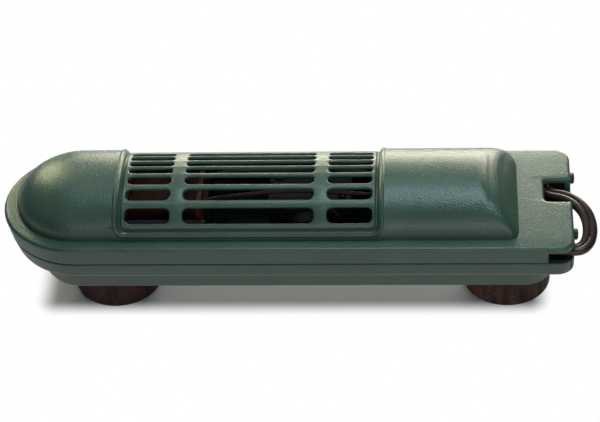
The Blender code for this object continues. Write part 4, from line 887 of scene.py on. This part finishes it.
def base_mesh(sizes):
    """The base as a profile carried round the outline: floor, plinth, step, rim and ledge. It closes on the
    line along the middle of the floor. The top edge dips where the cord lies on it."""
    nose = LEFT + HALF_WIDTH
    top = COVER_LOW.z - sizes.parting
    cut_x = 0.97
    cut_y = 0.07

    def ring(inset, corner, height):
        half = HALF_WIDTH - inset
        share = np.clip((top - np.mean(height)) / (top - sizes.rim_bottom), 0, 1)
        draw = sizes.draw_middle + (sizes.draw_low - sizes.draw_middle) * share
        draw += sizes.draw_plinth * (np.mean(height) < sizes.rim_bottom)
        return bullet(nose, half, RIGHT - inset, corner, cut_x, cut_y, min(draw, half))

    def rounded(inset, radius, corner, height):
        """Rows of a rounded lower edge."""
        shares = [(1 - math.sin(a), 1 - math.cos(a)) for a in quarter(6)]
        return [(inset + radius * out, corner, height + radius * up) for out, up in shares]

    outer = ring(0, sizes.corner, top)
    x, y = outer[:, 0], outer[:, 1]
    band = 0.0025
    front = (x > RIGHT - band) & (y > FRONT_SADDLE[0]) & (y < FRONT_SADDLE[1])
    rear = (y > HALF_WIDTH - band) & (x > REAR_SADDLE[0]) & (x < REAR_SADDLE[1])
    rim = top - sizes.saddle * (front | rear)
    step = sizes.rim_bottom
    plinth = sizes.plinth_inset
    plan = sizes.plinth_corner
    inside = sizes.corner * 0.64
    well = plinth + sizes.wall
    well_plan = plan * 0.8
    edge = 0.0003
    rows = [(HALF_WIDTH, 0.0, BASE_LOW.z)]
    rows += rounded(plinth, sizes.plinth_edge, plan, BASE_LOW.z)
    rows += [(plinth, plan, step - 2 * edge), (plinth - 2 * edge, plan, step)]
    rows += rounded(0.0, sizes.rim_edge, sizes.corner, step)
    rows += [(0.0, sizes.corner, rim - edge), (edge, sizes.corner, rim), (sizes.wall, inside, rim)]
    rows += [(sizes.wall, inside, sizes.ledge), (well, well_plan, sizes.ledge)]
    rows += [(well, well_plan, sizes.floor_top), (HALF_WIDTH, 0.0, sizes.floor_top)]
    outlines = [ring(*row) for row in rows]
    heights = [height for _, _, height in rows]
    return Skin().add(tiers(outlines, heights), close_columns=True).mesh("base")


def turned(profile, origin, axis, segments):
    """A profile of (radius, distance) rows turned about an axis through the origin, as a closed surface."""
    profile = np.asarray(profile, float)
    out = Vector(axis).normalized()
    side = out.orthogonal().normalized()
    other = out.cross(side)
    turn = np.linspace(0, 2 * np.pi, segments + 1)[:-1]
    ring = np.cos(turn)[:, None] * np.array(side) + np.sin(turn)[:, None] * np.array(other)
    points = profile[:, None, :1] * ring[None] + profile[:, None, 1:] * np.array(out)
    return points + np.array(origin)


def screw_skin(skin, origin, axis, head_r, head_h, shank_r, shank):
    """A pan-head screw: a domed head with a cross recess, then its shank. Origin is under the head."""
    side = 0.62
    across = np.linspace(0, 1, 15)
    dome = head_h * (side + (1 - side) * np.sqrt(np.clip(1 - (across * 0.97) ** 2, 0, 1)))
    rows = [(head_r * share, rise) for share, rise in zip(across, dome)]
    rows += [(head_r, head_h * 0.45), (head_r * 0.98, 0.0), (shank_r, 0.0), (shank_r, -shank * 0.92)]
    rows += [(shank_r * 0.7, -shank), (0.0, -shank)]
    points = turned(rows, (0, 0, 0), (0, 0, 1), 64)
    near = np.minimum(np.abs(points[..., 0]), np.abs(points[..., 1]))
    reach = np.hypot(points[..., 0], points[..., 1])
    arm, arm_end, arm_fade = head_r * 0.13, head_r * 0.62, head_r * 0.12
    cross = np.clip((arm * 1.5 - near) / arm, 0, 1) * np.clip((arm_end - reach) / arm_fade, 0, 1)
    cross[len(across) :] = 0
    recess = head_h * 0.5
    points[..., 2] -= cross * recess
    out = Vector(axis).normalized()
    turn = np.array(out.to_track_quat("Z", "Y").to_matrix())
    skin.add(points @ turn.T + np.array(origin), close_columns=True)


def smooth_line(points, samples):
    """A Catmull-Rom line through the points, with this many samples between each two."""
    points = np.asarray(points, float)
    padded = np.vstack([2 * points[:1] - points[1:2], points, 2 * points[-1:] - points[-2:-1]])
    share = (np.arange(samples) / samples)[None, :, None]
    a, b, c, d = (padded[k : len(padded) - 3 + k, None] for k in range(4))
    line = 0.5 * (
        2 * b + (c - a) * share + (2 * a - 5 * b + 4 * c - d) * share**2 + (3 * b - a - 3 * c + d) * share**3
    )
    return np.vstack([line.reshape(-1, 3), points[-1:]])


def hank_line(sizes):
    """Long loops that spiral in on the lower layer, climb and spiral out on the upper one, then a tail."""
    loops, per_layer, loop_points, run, bend = 3, 2, 24, 7, 5
    fine = 4
    step = np.arange((loops * loop_points + run) * fine + 1) / fine
    part = step % loop_points
    way = np.where(part < run + bend, -1.0, 1.0)
    part = part % (run + bend)
    turns = step / loop_points
    radius = sizes.outer_round - sizes.step * per_layer + sizes.step * np.abs(turns - per_layer)
    turn = np.pi * np.clip(part - run, 0, None) / bend
    x = np.where(part <= run, sizes.half_run * (1 - 2 * part / run), -sizes.half_run - radius * np.sin(turn))
    y = -radius * np.cos(turn)
    x, y = -way * x, -way * y
    y = y * (1 - sizes.waist * np.exp(-((x / sizes.waist_length) ** 2)))
    climb = np.clip((turns - per_layer) * 2 + 0.5, 0, 1)
    z = sizes.lowest + sizes.layer * eased(climb)
    line = np.stack([sizes.hank_x + x, sizes.hank_y + y, z], axis=1)
    tail = line[-1] - np.linspace(0, sizes.tail, 9)[1:, None] * np.array((1.0, 0, 0))
    return np.vstack([line, tail])


def twin_profile(width, thickness):
    """Outline of a flat twin cord: two round cores side by side, with a groove where their circles meet."""
    radius = thickness / 2
    apart = width / 2 - radius
    reach = np.pi - math.acos(apart / radius)
    turn = np.linspace(-reach, reach, 15)
    right = pairs(apart + radius * np.cos(turn), radius * np.sin(turn))
    return np.concatenate([right[:-1], (-right)[:-1]])


def swept(profile, line):
    """A profile carried along a line, lying flat: its first axis is level, square to the line."""
    tangent = np.gradient(line, axis=0)
    tangent /= np.linalg.norm(tangent, axis=1, keepdims=True)
    level = np.cross(tangent, (0, 0, 1.0))
    level /= np.linalg.norm(level, axis=1, keepdims=True)
    above = np.cross(level, tangent)
    rings = line[:, None] + level[:, None] * profile[None, :, :1] + above[:, None] * profile[None, :, 1:]
    return capped(rings, line[0], line[-1])


def superloop(half_y, half_z, power, count):
    """A rounded rectangle |y / a|^p + |z / b|^p = 1 as (count, 2) points."""
    turn = np.linspace(0, 2 * np.pi, count + 1)[:-1]
    c, s = np.cos(turn), np.sin(turn)
    y = half_y * np.sign(c) * np.abs(c) ** (2 / power)
    z = half_z * np.sign(s) * np.abs(s) ** (2 / power)
    return pairs(y, z)


class PUMP_OT_stage(bpy.types.Operator):
    """Camera at the photograph's angle, pale floor, white world and five soft lamps"""

    bl_idname = "pump.stage"
    bl_label = "Studio"

    def execute(self, context):
        scene = context.scene
        settings = scene.pump_stage
        scene.view_settings.view_transform = "Standard"
        self.camera(scene, settings)
        self.world(scene, settings)
        self.floor(scene)
        for key, (spot, target, size, tint) in LAMPS.items():
            self.lamp(f"{key}_softbox", spot, target, size, getattr(settings, key), tint)
        return {"FINISHED"}

    def camera(self, scene, settings):
        data = bpy.data.cameras.new("camera")
        data.sensor_width = 36.0
        data.sensor_fit = "HORIZONTAL"
        data.lens = settings.focal
        data.clip_start = 0.01
        data.clip_end = 100
        camera = bpy.data.objects.new("camera", data)
        scene.collection.objects.link(camera)
        yaw = Matrix.Rotation(-settings.yaw, 4, "Z")
        pitch = Matrix.Rotation(math.pi / 2 - settings.pitch, 4, "X")
        roll = Matrix.Rotation(settings.roll, 4, "Z")
        spot = Vector((settings.camera_x, settings.camera_y, settings.camera_z))
        camera.matrix_world = Matrix.Translation(spot) @ yaw @ pitch @ roll
        scene.camera = camera

    def seen(self, shade, share):
        """How far a ray shows the white background: straight or through glass wholly, mirrored by a share."""
        straight = shade.node("ShaderNodeLightPath", output="Is Camera Ray")
        through = shade.node("ShaderNodeLightPath", output="Is Transmission Ray")
        mirrored = shade.node("ShaderNodeLightPath", output="Is Glossy Ray")
        return shade.math("MAXIMUM", shade.math("MAXIMUM", straight, through), mirrored * share)

    def world(self, scene, settings):
        world = bpy.data.worlds.new("studio")
        world.use_nodes = True
        scene.world = world
        tree = world.node_tree
        tree.nodes.clear()
        shade = Shade(tree)
        ray = shade.node("ShaderNodeTexCoord", output="Generated")
        aside = ray.part("X").away()
        behind = ray.part("Y").between(-0.2, 0.8)
        above = ray.part("Z").between(0.15, 0.95)
        level = settings.world * (0.06 + 0.17 * behind + 0.5 * above) * (1 - 0.8 * aside)
        even = shade.node("ShaderNodeBackground", None, {"Color": (0.96, 0.98, 1.0), "Strength": level})
        white = shade.node("ShaderNodeBackground", None, {"Color": (1.0, 1.0, 1.0), "Strength": 1.0})
        shown = shade.node("ShaderNodeMixShader", None, {0: self.seen(shade, 0.05), 1: even, 2: white})
        out = tree.nodes.new("ShaderNodeOutputWorld")
        tree.links.new(shown.socket, out.inputs["Surface"])

    def floor(self, scene):
        """A round pale floor. Away from the pump's plan it is seen whiter, to run into the background; inside
        the plan it stays a darker blue-grey, a painted shadow added to the cast one.
        """
        reach = np.array([0.0, 0.2, 0.5])
        profile = pairs(reach, np.full_like(reach, -0.0002))
        mesh = Skin().add(turned(profile, (0, 0, 0), (0, 0, 1), 64), close_columns=True).mesh("floor")
        material = matt_paint("Pale floor", (0.42, 0.44, 0.49))
        tree = material.node_tree
        shade = Shade(tree)
        glow = shade.node("ShaderNodeEmission", None, {"Color": (1.0, 1.0, 1.0), "Strength": 1.0})
        lit = Shade(tree, tree.nodes["Principled BSDF"].outputs[0])
        half_x, half_y, middle_y, fade = 0.105, 0.0435, 0.03, 0.012
        where = Shade(tree, tree.nodes["Texture Coordinate"].outputs["Object"])
        y = where.part("Y")
        off_x = shade.math("MAXIMUM", where.part("X").away() - half_x, 0.0)
        off_y = shade.math("MAXIMUM", (y - middle_y).away() - half_y, 0.0)
        # Painted shadow: the floor whitens only outside the plan, so the darker floor under the pump deepens
        # its cast shadow.
        whiter = ((off_x**2 + off_y**2) ** 0.5).between(0.0, fade)
        front = (0.0 - y).between(-0.02, 0.05)
        share = self.seen(shade, front) * whiter
        shown = shade.node("ShaderNodeMixShader", None, {0: share, 1: lit, 2: glow})
        tree.links.new(shown.socket, tree.nodes["Material Output"].inputs["Surface"])
        coat(mesh, material)
        floor = bpy.data.objects.new("floor", mesh)
        scene.collection.objects.link(floor)

    def lamp(self, name, spot, target, size, power, tint):
        data = bpy.data.lights.new(name, "AREA")
        data.shape = "RECTANGLE"
        data.size, data.size_y = size
        data.energy = power
        data.color = tint
        lamp = bpy.data.objects.new(name, data)
        bpy.context.scene.collection.objects.link(lamp)
        lamp.location = spot
        lamp.rotation_mode = "QUATERNION"
        lamp.rotation_quaternion = (Vector(target) - Vector(spot)).to_track_quat("-Z", "Y")


class PUMP_OT_cord(bpy.types.Operator):
    """Flat twin cord from the gland round the right end to the hank, with its tie, plug and blades"""

    bl_idname = "pump.cord"
    bl_label = "Cord and plug"

    def execute(self, context):
        sizes = context.scene.pump_cord
        colours = context.scene.pump_colours
        brown = glossy_cord("Glossy brown flex", colours.cord)
        route = smooth_line(CORD_ROUTE, 6)
        line = np.vstack([route[:-1], hank_line(sizes)])
        skin = Skin().add(swept(twin_profile(sizes.width, sizes.thickness), line), close_columns=True)
        stood_for = ("cord_run", "cord_hank")
        cord = new_piece("cord", skin.mesh("cord"), brown, stood_for, sharp=50.0)
        plug = self.plug(brown)
        tie = self.tie(soft_finish("White tie", colours.tie, 0.45, 900, 0.1))
        blades = [NODES["plug_blade_front"], NODES["plug_blade_rear"]]
        nickel = plated_metal("Nickel blade", colours.zinc, 0.2)
        for blade in blades:
            coat(blade.data, nickel)
        return {"FINISHED"}

    def plug(self, material):
        """Rounded-rectangle rings along X: face, grip with shallow ribs, shoulder and tapered neck."""
        low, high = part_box("plug_body")
        middle = (low + high) / 2
        half = (high - low) / 2
        face, face_ease = 0.045, 0.12
        first_rib, last_rib, rib_pitch, rib_depth = 0.22, 0.55, 1 / 16, 0.025
        shoulder, shoulder_run = 0.5928, 0.228
        neck_wide, neck_tall, taper = 0.0042, 0.0031, 0.0006
        share = np.linspace(0, 1, 61)
        edge = np.clip(share / face, 0, 1)
        round_in = 1 - face_ease + face_ease * np.sqrt(np.clip(1 - (1 - edge) ** 2, 0, 1))
        ribbed = (share > first_rib) & (share < last_rib) & (np.sin(share * 2 * np.pi / rib_pitch) > 0)
        grip = round_in * (1 - rib_depth * ribbed)
        fall = eased(np.clip((share - shoulder) / shoulder_run, 0, 1))
        wide = half.y * grip * (1 - fall) + (neck_wide - taper * share) * fall
        tall = half.z * grip * (1 - fall) + (neck_tall - taper * share) * fall
        loop = superloop(1, 1, 3.2, 48)
        x = (low.x + (high.x - low.x) * share)[:, None]
        y = middle.y + wide[:, None] * loop[None, :, 0]
        z = middle.z + tall[:, None] * loop[None, :, 1]
        rings = np.stack(np.broadcast_arrays(x, y, z), axis=2)
        rings = capped(rings, (low.x, middle.y, middle.z), (high.x, middle.y, middle.z))
        skin = Skin().add(rings, close_columns=True)
        return new_piece("plug", skin.mesh("plug"), material, ("plug_body",))

    def tie(self, material):
        """A band round the hank: an outer and an inner rounded rectangle, with softened rims."""
        low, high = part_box("cord_tie")
        middle = (low + high) / 2
        half = (high - low) / 2
        soft, rim, thin = 0.0002, 0.0003, 0.0008
        insets = (soft, 0.0, 0.0, soft, thin, thin)
        rows = []
        for inset, x in zip(insets, (low.x, low.x + rim, high.x - rim, high.x, high.x, low.x)):
            loop = np.array(middle.yz) + superloop(half.y - inset, half.z - inset, 9.0, 96)
            rows.append(np.column_stack([np.full(96, x), loop]))
        skin = Skin().add(np.stack(rows), close_rows=True, close_columns=True)
        return new_piece("tie", skin.mesh("tie"), material, ("cord_tie",))


class PUMP_OT_cover(bpy.types.Operator):
    """Top cover: deck with cord notch and corner cut-outs, and the dome with its vent panel"""

    bl_idname = "pump.cover"
    bl_label = "Top cover"

    def execute(self, context):
        sizes = context.scene.pump_housing
        colours = context.scene.pump_colours
        green = pebbled_plastic("Pebbled green plastic", colours.green_dark, colours.green_light, 0.2, 0.0)
        mesh = joined("cover", [deck_mesh(sizes), dome_mesh(sizes)])
        new_piece("cover", mesh, green, ("top_cover",))
        return {"FINISHED"}


class PUMP_OT_base(bpy.types.Operator):
    """Base shell: rim, step and plinth"""

    bl_idname = "pump.base"
    bl_label = "Base"

    def execute(self, context):
        sizes = context.scene.pump_housing
        colours = context.scene.pump_colours
        # The last value, 1, gives the base its painted shade inside the right end.
        green = pebbled_plastic("Pebbled base plastic", colours.base_dark, colours.base_light, 0.2, 1.0)
        new_piece("base", base_mesh(sizes), green, ("base_shell",))
        return {"FINISHED"}


class PUMP_OT_feet(bpy.types.Operator):
    """Two round rubber feet with an eased lower edge and a bore for the screw"""

    bl_idname = "pump.feet"
    bl_label = "Feet"

    def execute(self, context):
        colours = context.scene.pump_colours
        rubber = streaked_rubber("Brown foot rubber", colours.rubber, colours.rubber_highlight)
        for side in ("left", "right"):
            low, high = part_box(f"foot_{side}")
            reach = (high.x - low.x) / 2
            tall = high.z
            edge, ease, bore, well, seat = 0.0022, 0.0006, 0.0021, 0.006, 0.0096
            rows = [(bore, seat), (well, seat), (well, ease), (well + ease, 0.0)]
            rows += [(reach - edge + edge * math.sin(a), edge * (1 - math.cos(a))) for a in quarter(7)]
            rows += [(reach, tall - ease), (reach - ease, tall), (bore, tall)]
            middle = ((low.x + high.x) / 2, 0, 0)
            skin = Skin().add(turned(rows, middle, (0, 0, 1), 96), close_rows=True, close_columns=True)
            new_piece(f"foot_pad_{side}", skin.mesh("foot"), rubber, (f"foot_{side}",))
        return {"FINISHED"}


class PUMP_OT_screws(bpy.types.Operator):
    """Pan-head screws in the right end, the feet and the underside"""

    bl_idname = "pump.screws"
    bl_label = "Housing screws"

    def execute(self, context):
        colours = context.scene.pump_colours
        dark = soft_finish("Black screw finish", colours.black, 0.35, 2500, 0.15)
        zinc = plated_metal("Zinc plated steel", colours.zinc, 0.25)
        for side in ("front", "rear"):
            self.screw(f"end_screw_{side}", (1, 0, 0), 0.0020, 0.0015, dark, "dark_screw")
        for side in ("left", "right"):
            self.screw(f"foot_screw_{side}", (0, 0, -1), 0.0024, 0.0020, zinc, "zinc_screw")
        for side in ("left", "front", "rear"):
            self.screw(f"cover_screw_{side}", (0, 0, -1), 0.0020, 0.0015, zinc, "zinc_screw")
        return {"FINISHED"}

    def screw(self, node, axis, head, shank, material, slot):
        """A screw in a node's box: its head of this height at the box's end along the axis, as wide as it."""
        low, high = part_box(node)
        way = Vector(axis)
        middle = (low + high) / 2
        size = high - low
        reach = abs(size.dot(way))
        wide = size.y / 2
        origin = middle + way * (reach / 2 - head)
        skin = Skin()
        screw_skin(skin, origin, way, wide, head, shank, reach - head)
        new_piece(f"pan_{node}", skin.mesh(node), material, (node,))


class PUMP_OT_diaphragms(bpy.types.Operator):
    """Two rubber diaphragms, clamped at the flange, with the arms at the crown"""

    bl_idname = "pump.diaphragms"
    bl_label = "Diaphragms"

    def execute(self, context):
        black = soft_finish("Soft black rubber", context.scene.pump_colours.soft_rubber, 0.55, 1600, 0.2)
        for side, way in (("front", -1), ("rear", 1)):
            self.bell(side, way, black)
        return {"FINISHED"}

    def bell(self, side, way, material):
        """A flange, a sloping skin and a flat crown turned about Y, in the node's box."""
        low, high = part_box(f"{side}_diaphragm")
        middle = (low + high) / 2
        face = high.y if way < 0 else low.y
        rise = high.y - low.y
        rim = (high.x - low.x) / 2
        flange, skin, wall, crown, ease = 0.0015, 0.0011, 0.0110, 0.0075, 0.0004
        fall = np.linspace(0, 1, 7)
        rows = [(0.0, rise), (crown * 0.5, rise)]
        rows += [(crown + (wall - ease - crown) * a, rise + (flange + skin - rise) * a) for a in fall]
        rows += [(wall, flange), (rim - ease, flange), (rim, flange - ease), (rim, ease), (rim - ease, 0.0)]
        rows += [(wall - skin, 0.0), (wall - skin - ease, flange)]
        inner = crown - skin / 2
        out = wall - skin - ease - inner
        rows += [(inner + out * a, rise - skin + (flange - rise + skin) * a) for a in fall[-2::-1]]
        rows += [(0.0, rise - skin)]
        mesh = Skin().add(turned(rows, (middle.x, face, middle.z), (0, way, 0), 64), close_columns=True)
        node = f"{side}_diaphragm"
        piece = new_piece(f"bell_{side}", mesh.mesh("bell"), material, (node,), body=None)
        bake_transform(piece)


class PUMP_OT_drive(bpy.types.Operator):
    """Finishes of the coil, core, arms, valve box, wires and hidden screws"""

    bl_idname = "pump.drive"
    bl_label = "Drive and wiring"

    def execute(self, context):
        colours = context.scene.pump_colours
        # Painted shade: these finishes are kept very dark, the steel at 0.12 of the zinc colour, for the
        # shade inside the housing that the vents look into.
        iron = laminated_iron("Laminated iron", colours.iron)
        copper = wound_copper("Varnished copper", colours.copper)
        red = soft_finish("Brick red moulding", colours.red, 0.5, 1500, 0.12, 0.15)
        grey = soft_finish("Grey moulding", colours.grey, 0.5, 1500, 0.12, 0.15)
        zinc = plated_metal("Oiled steel", scaled(colours.zinc, 0.12), 0.35)
        black = soft_finish("Soft black rubber", colours.soft_rubber, 0.55, 1600, 0.2)
        ferrite = soft_finish("Sintered ferrite", scaled(colours.iron, 0.3), 0.5, 2500, 0.3)
        pale = soft_finish("Pale wire", colours.wire, 0.45, 1500, 0.08, 0.15)
        hose = soft_finish("Dark hose", colours.hose, 0.5, 1200, 0.1, 0.15)
        brown = glossy_cord("Glossy brown flex", colours.cord)
        finishes = {
            "screw": zinc,
            "core_lamination": iron,
            "coil_bobbin": red,
            "coil_winding": copper,
            "splice": red,
            "coil_lead": pale,
            "conductor": brown,
            "strain_relief": brown,
            "valve_box": grey,
            "outlet_nozzle": grey,
            "air_hose": hose,
            "magnet": ferrite,
            "flap": black,
        }
        for name, node in NODES.items():
            if not node.hide_render and "plug" not in name:
                coat(node.data, next((found for key, found in finishes.items() if key in name), zinc))
        return {"FINISHED"}


class PUMP_PT_panel(bpy.types.Panel):
    """Lists the pump's pieces and their sizes"""

    bl_idname = "PUMP_PT_panel"
    bl_label = "Air pump"
    bl_space_type = "VIEW_3D"
    bl_region_type = "UI"
    bl_category = "Air pump"

    def draw(self, context):
        for operator in OPERATORS:
            self.layout.operator(operator.bl_idname)
        for key, group in SETTINGS.items():
            box = self.layout.box()
            for name in group.__annotations__:
                box.prop(getattr(context.scene, key), name, text=name.replace("_", " ").capitalize())


OPERATORS = (
    PUMP_OT_stage,
    PUMP_OT_cord,
    PUMP_OT_cover,
    PUMP_OT_base,
    PUMP_OT_feet,
    PUMP_OT_screws,
    PUMP_OT_diaphragms,
    PUMP_OT_drive,
)
SETTINGS = {
    "pump_housing": HousingSizes,
    "pump_cord": CordSizes,
    "pump_colours": Colours,
    "pump_stage": StageSettings,
}


def register():
    for group in (*SETTINGS.values(), *OPERATORS, PUMP_PT_panel):
        bpy.utils.register_class(group)
    for key, group in SETTINGS.items():
        setattr(bpy.types.Scene, key, bpy.props.PointerProperty(type=group))


def unregister():
    for key in SETTINGS:
        delattr(bpy.types.Scene, key)
    for group in (PUMP_PT_panel, *reversed(OPERATORS), *reversed(SETTINGS.values())):
        bpy.utils.unregister_class(group)


def main():
    register()
    bpy.ops.pump.stage()
    bpy.ops.pump.cord()
    bpy.ops.pump.cover()
    bpy.ops.pump.base()
    bpy.ops.pump.feet()
    bpy.ops.pump.screws()
    bpy.ops.pump.diaphragms()
    bpy.ops.pump.drive()


if __name__ == "__main__":
    main()
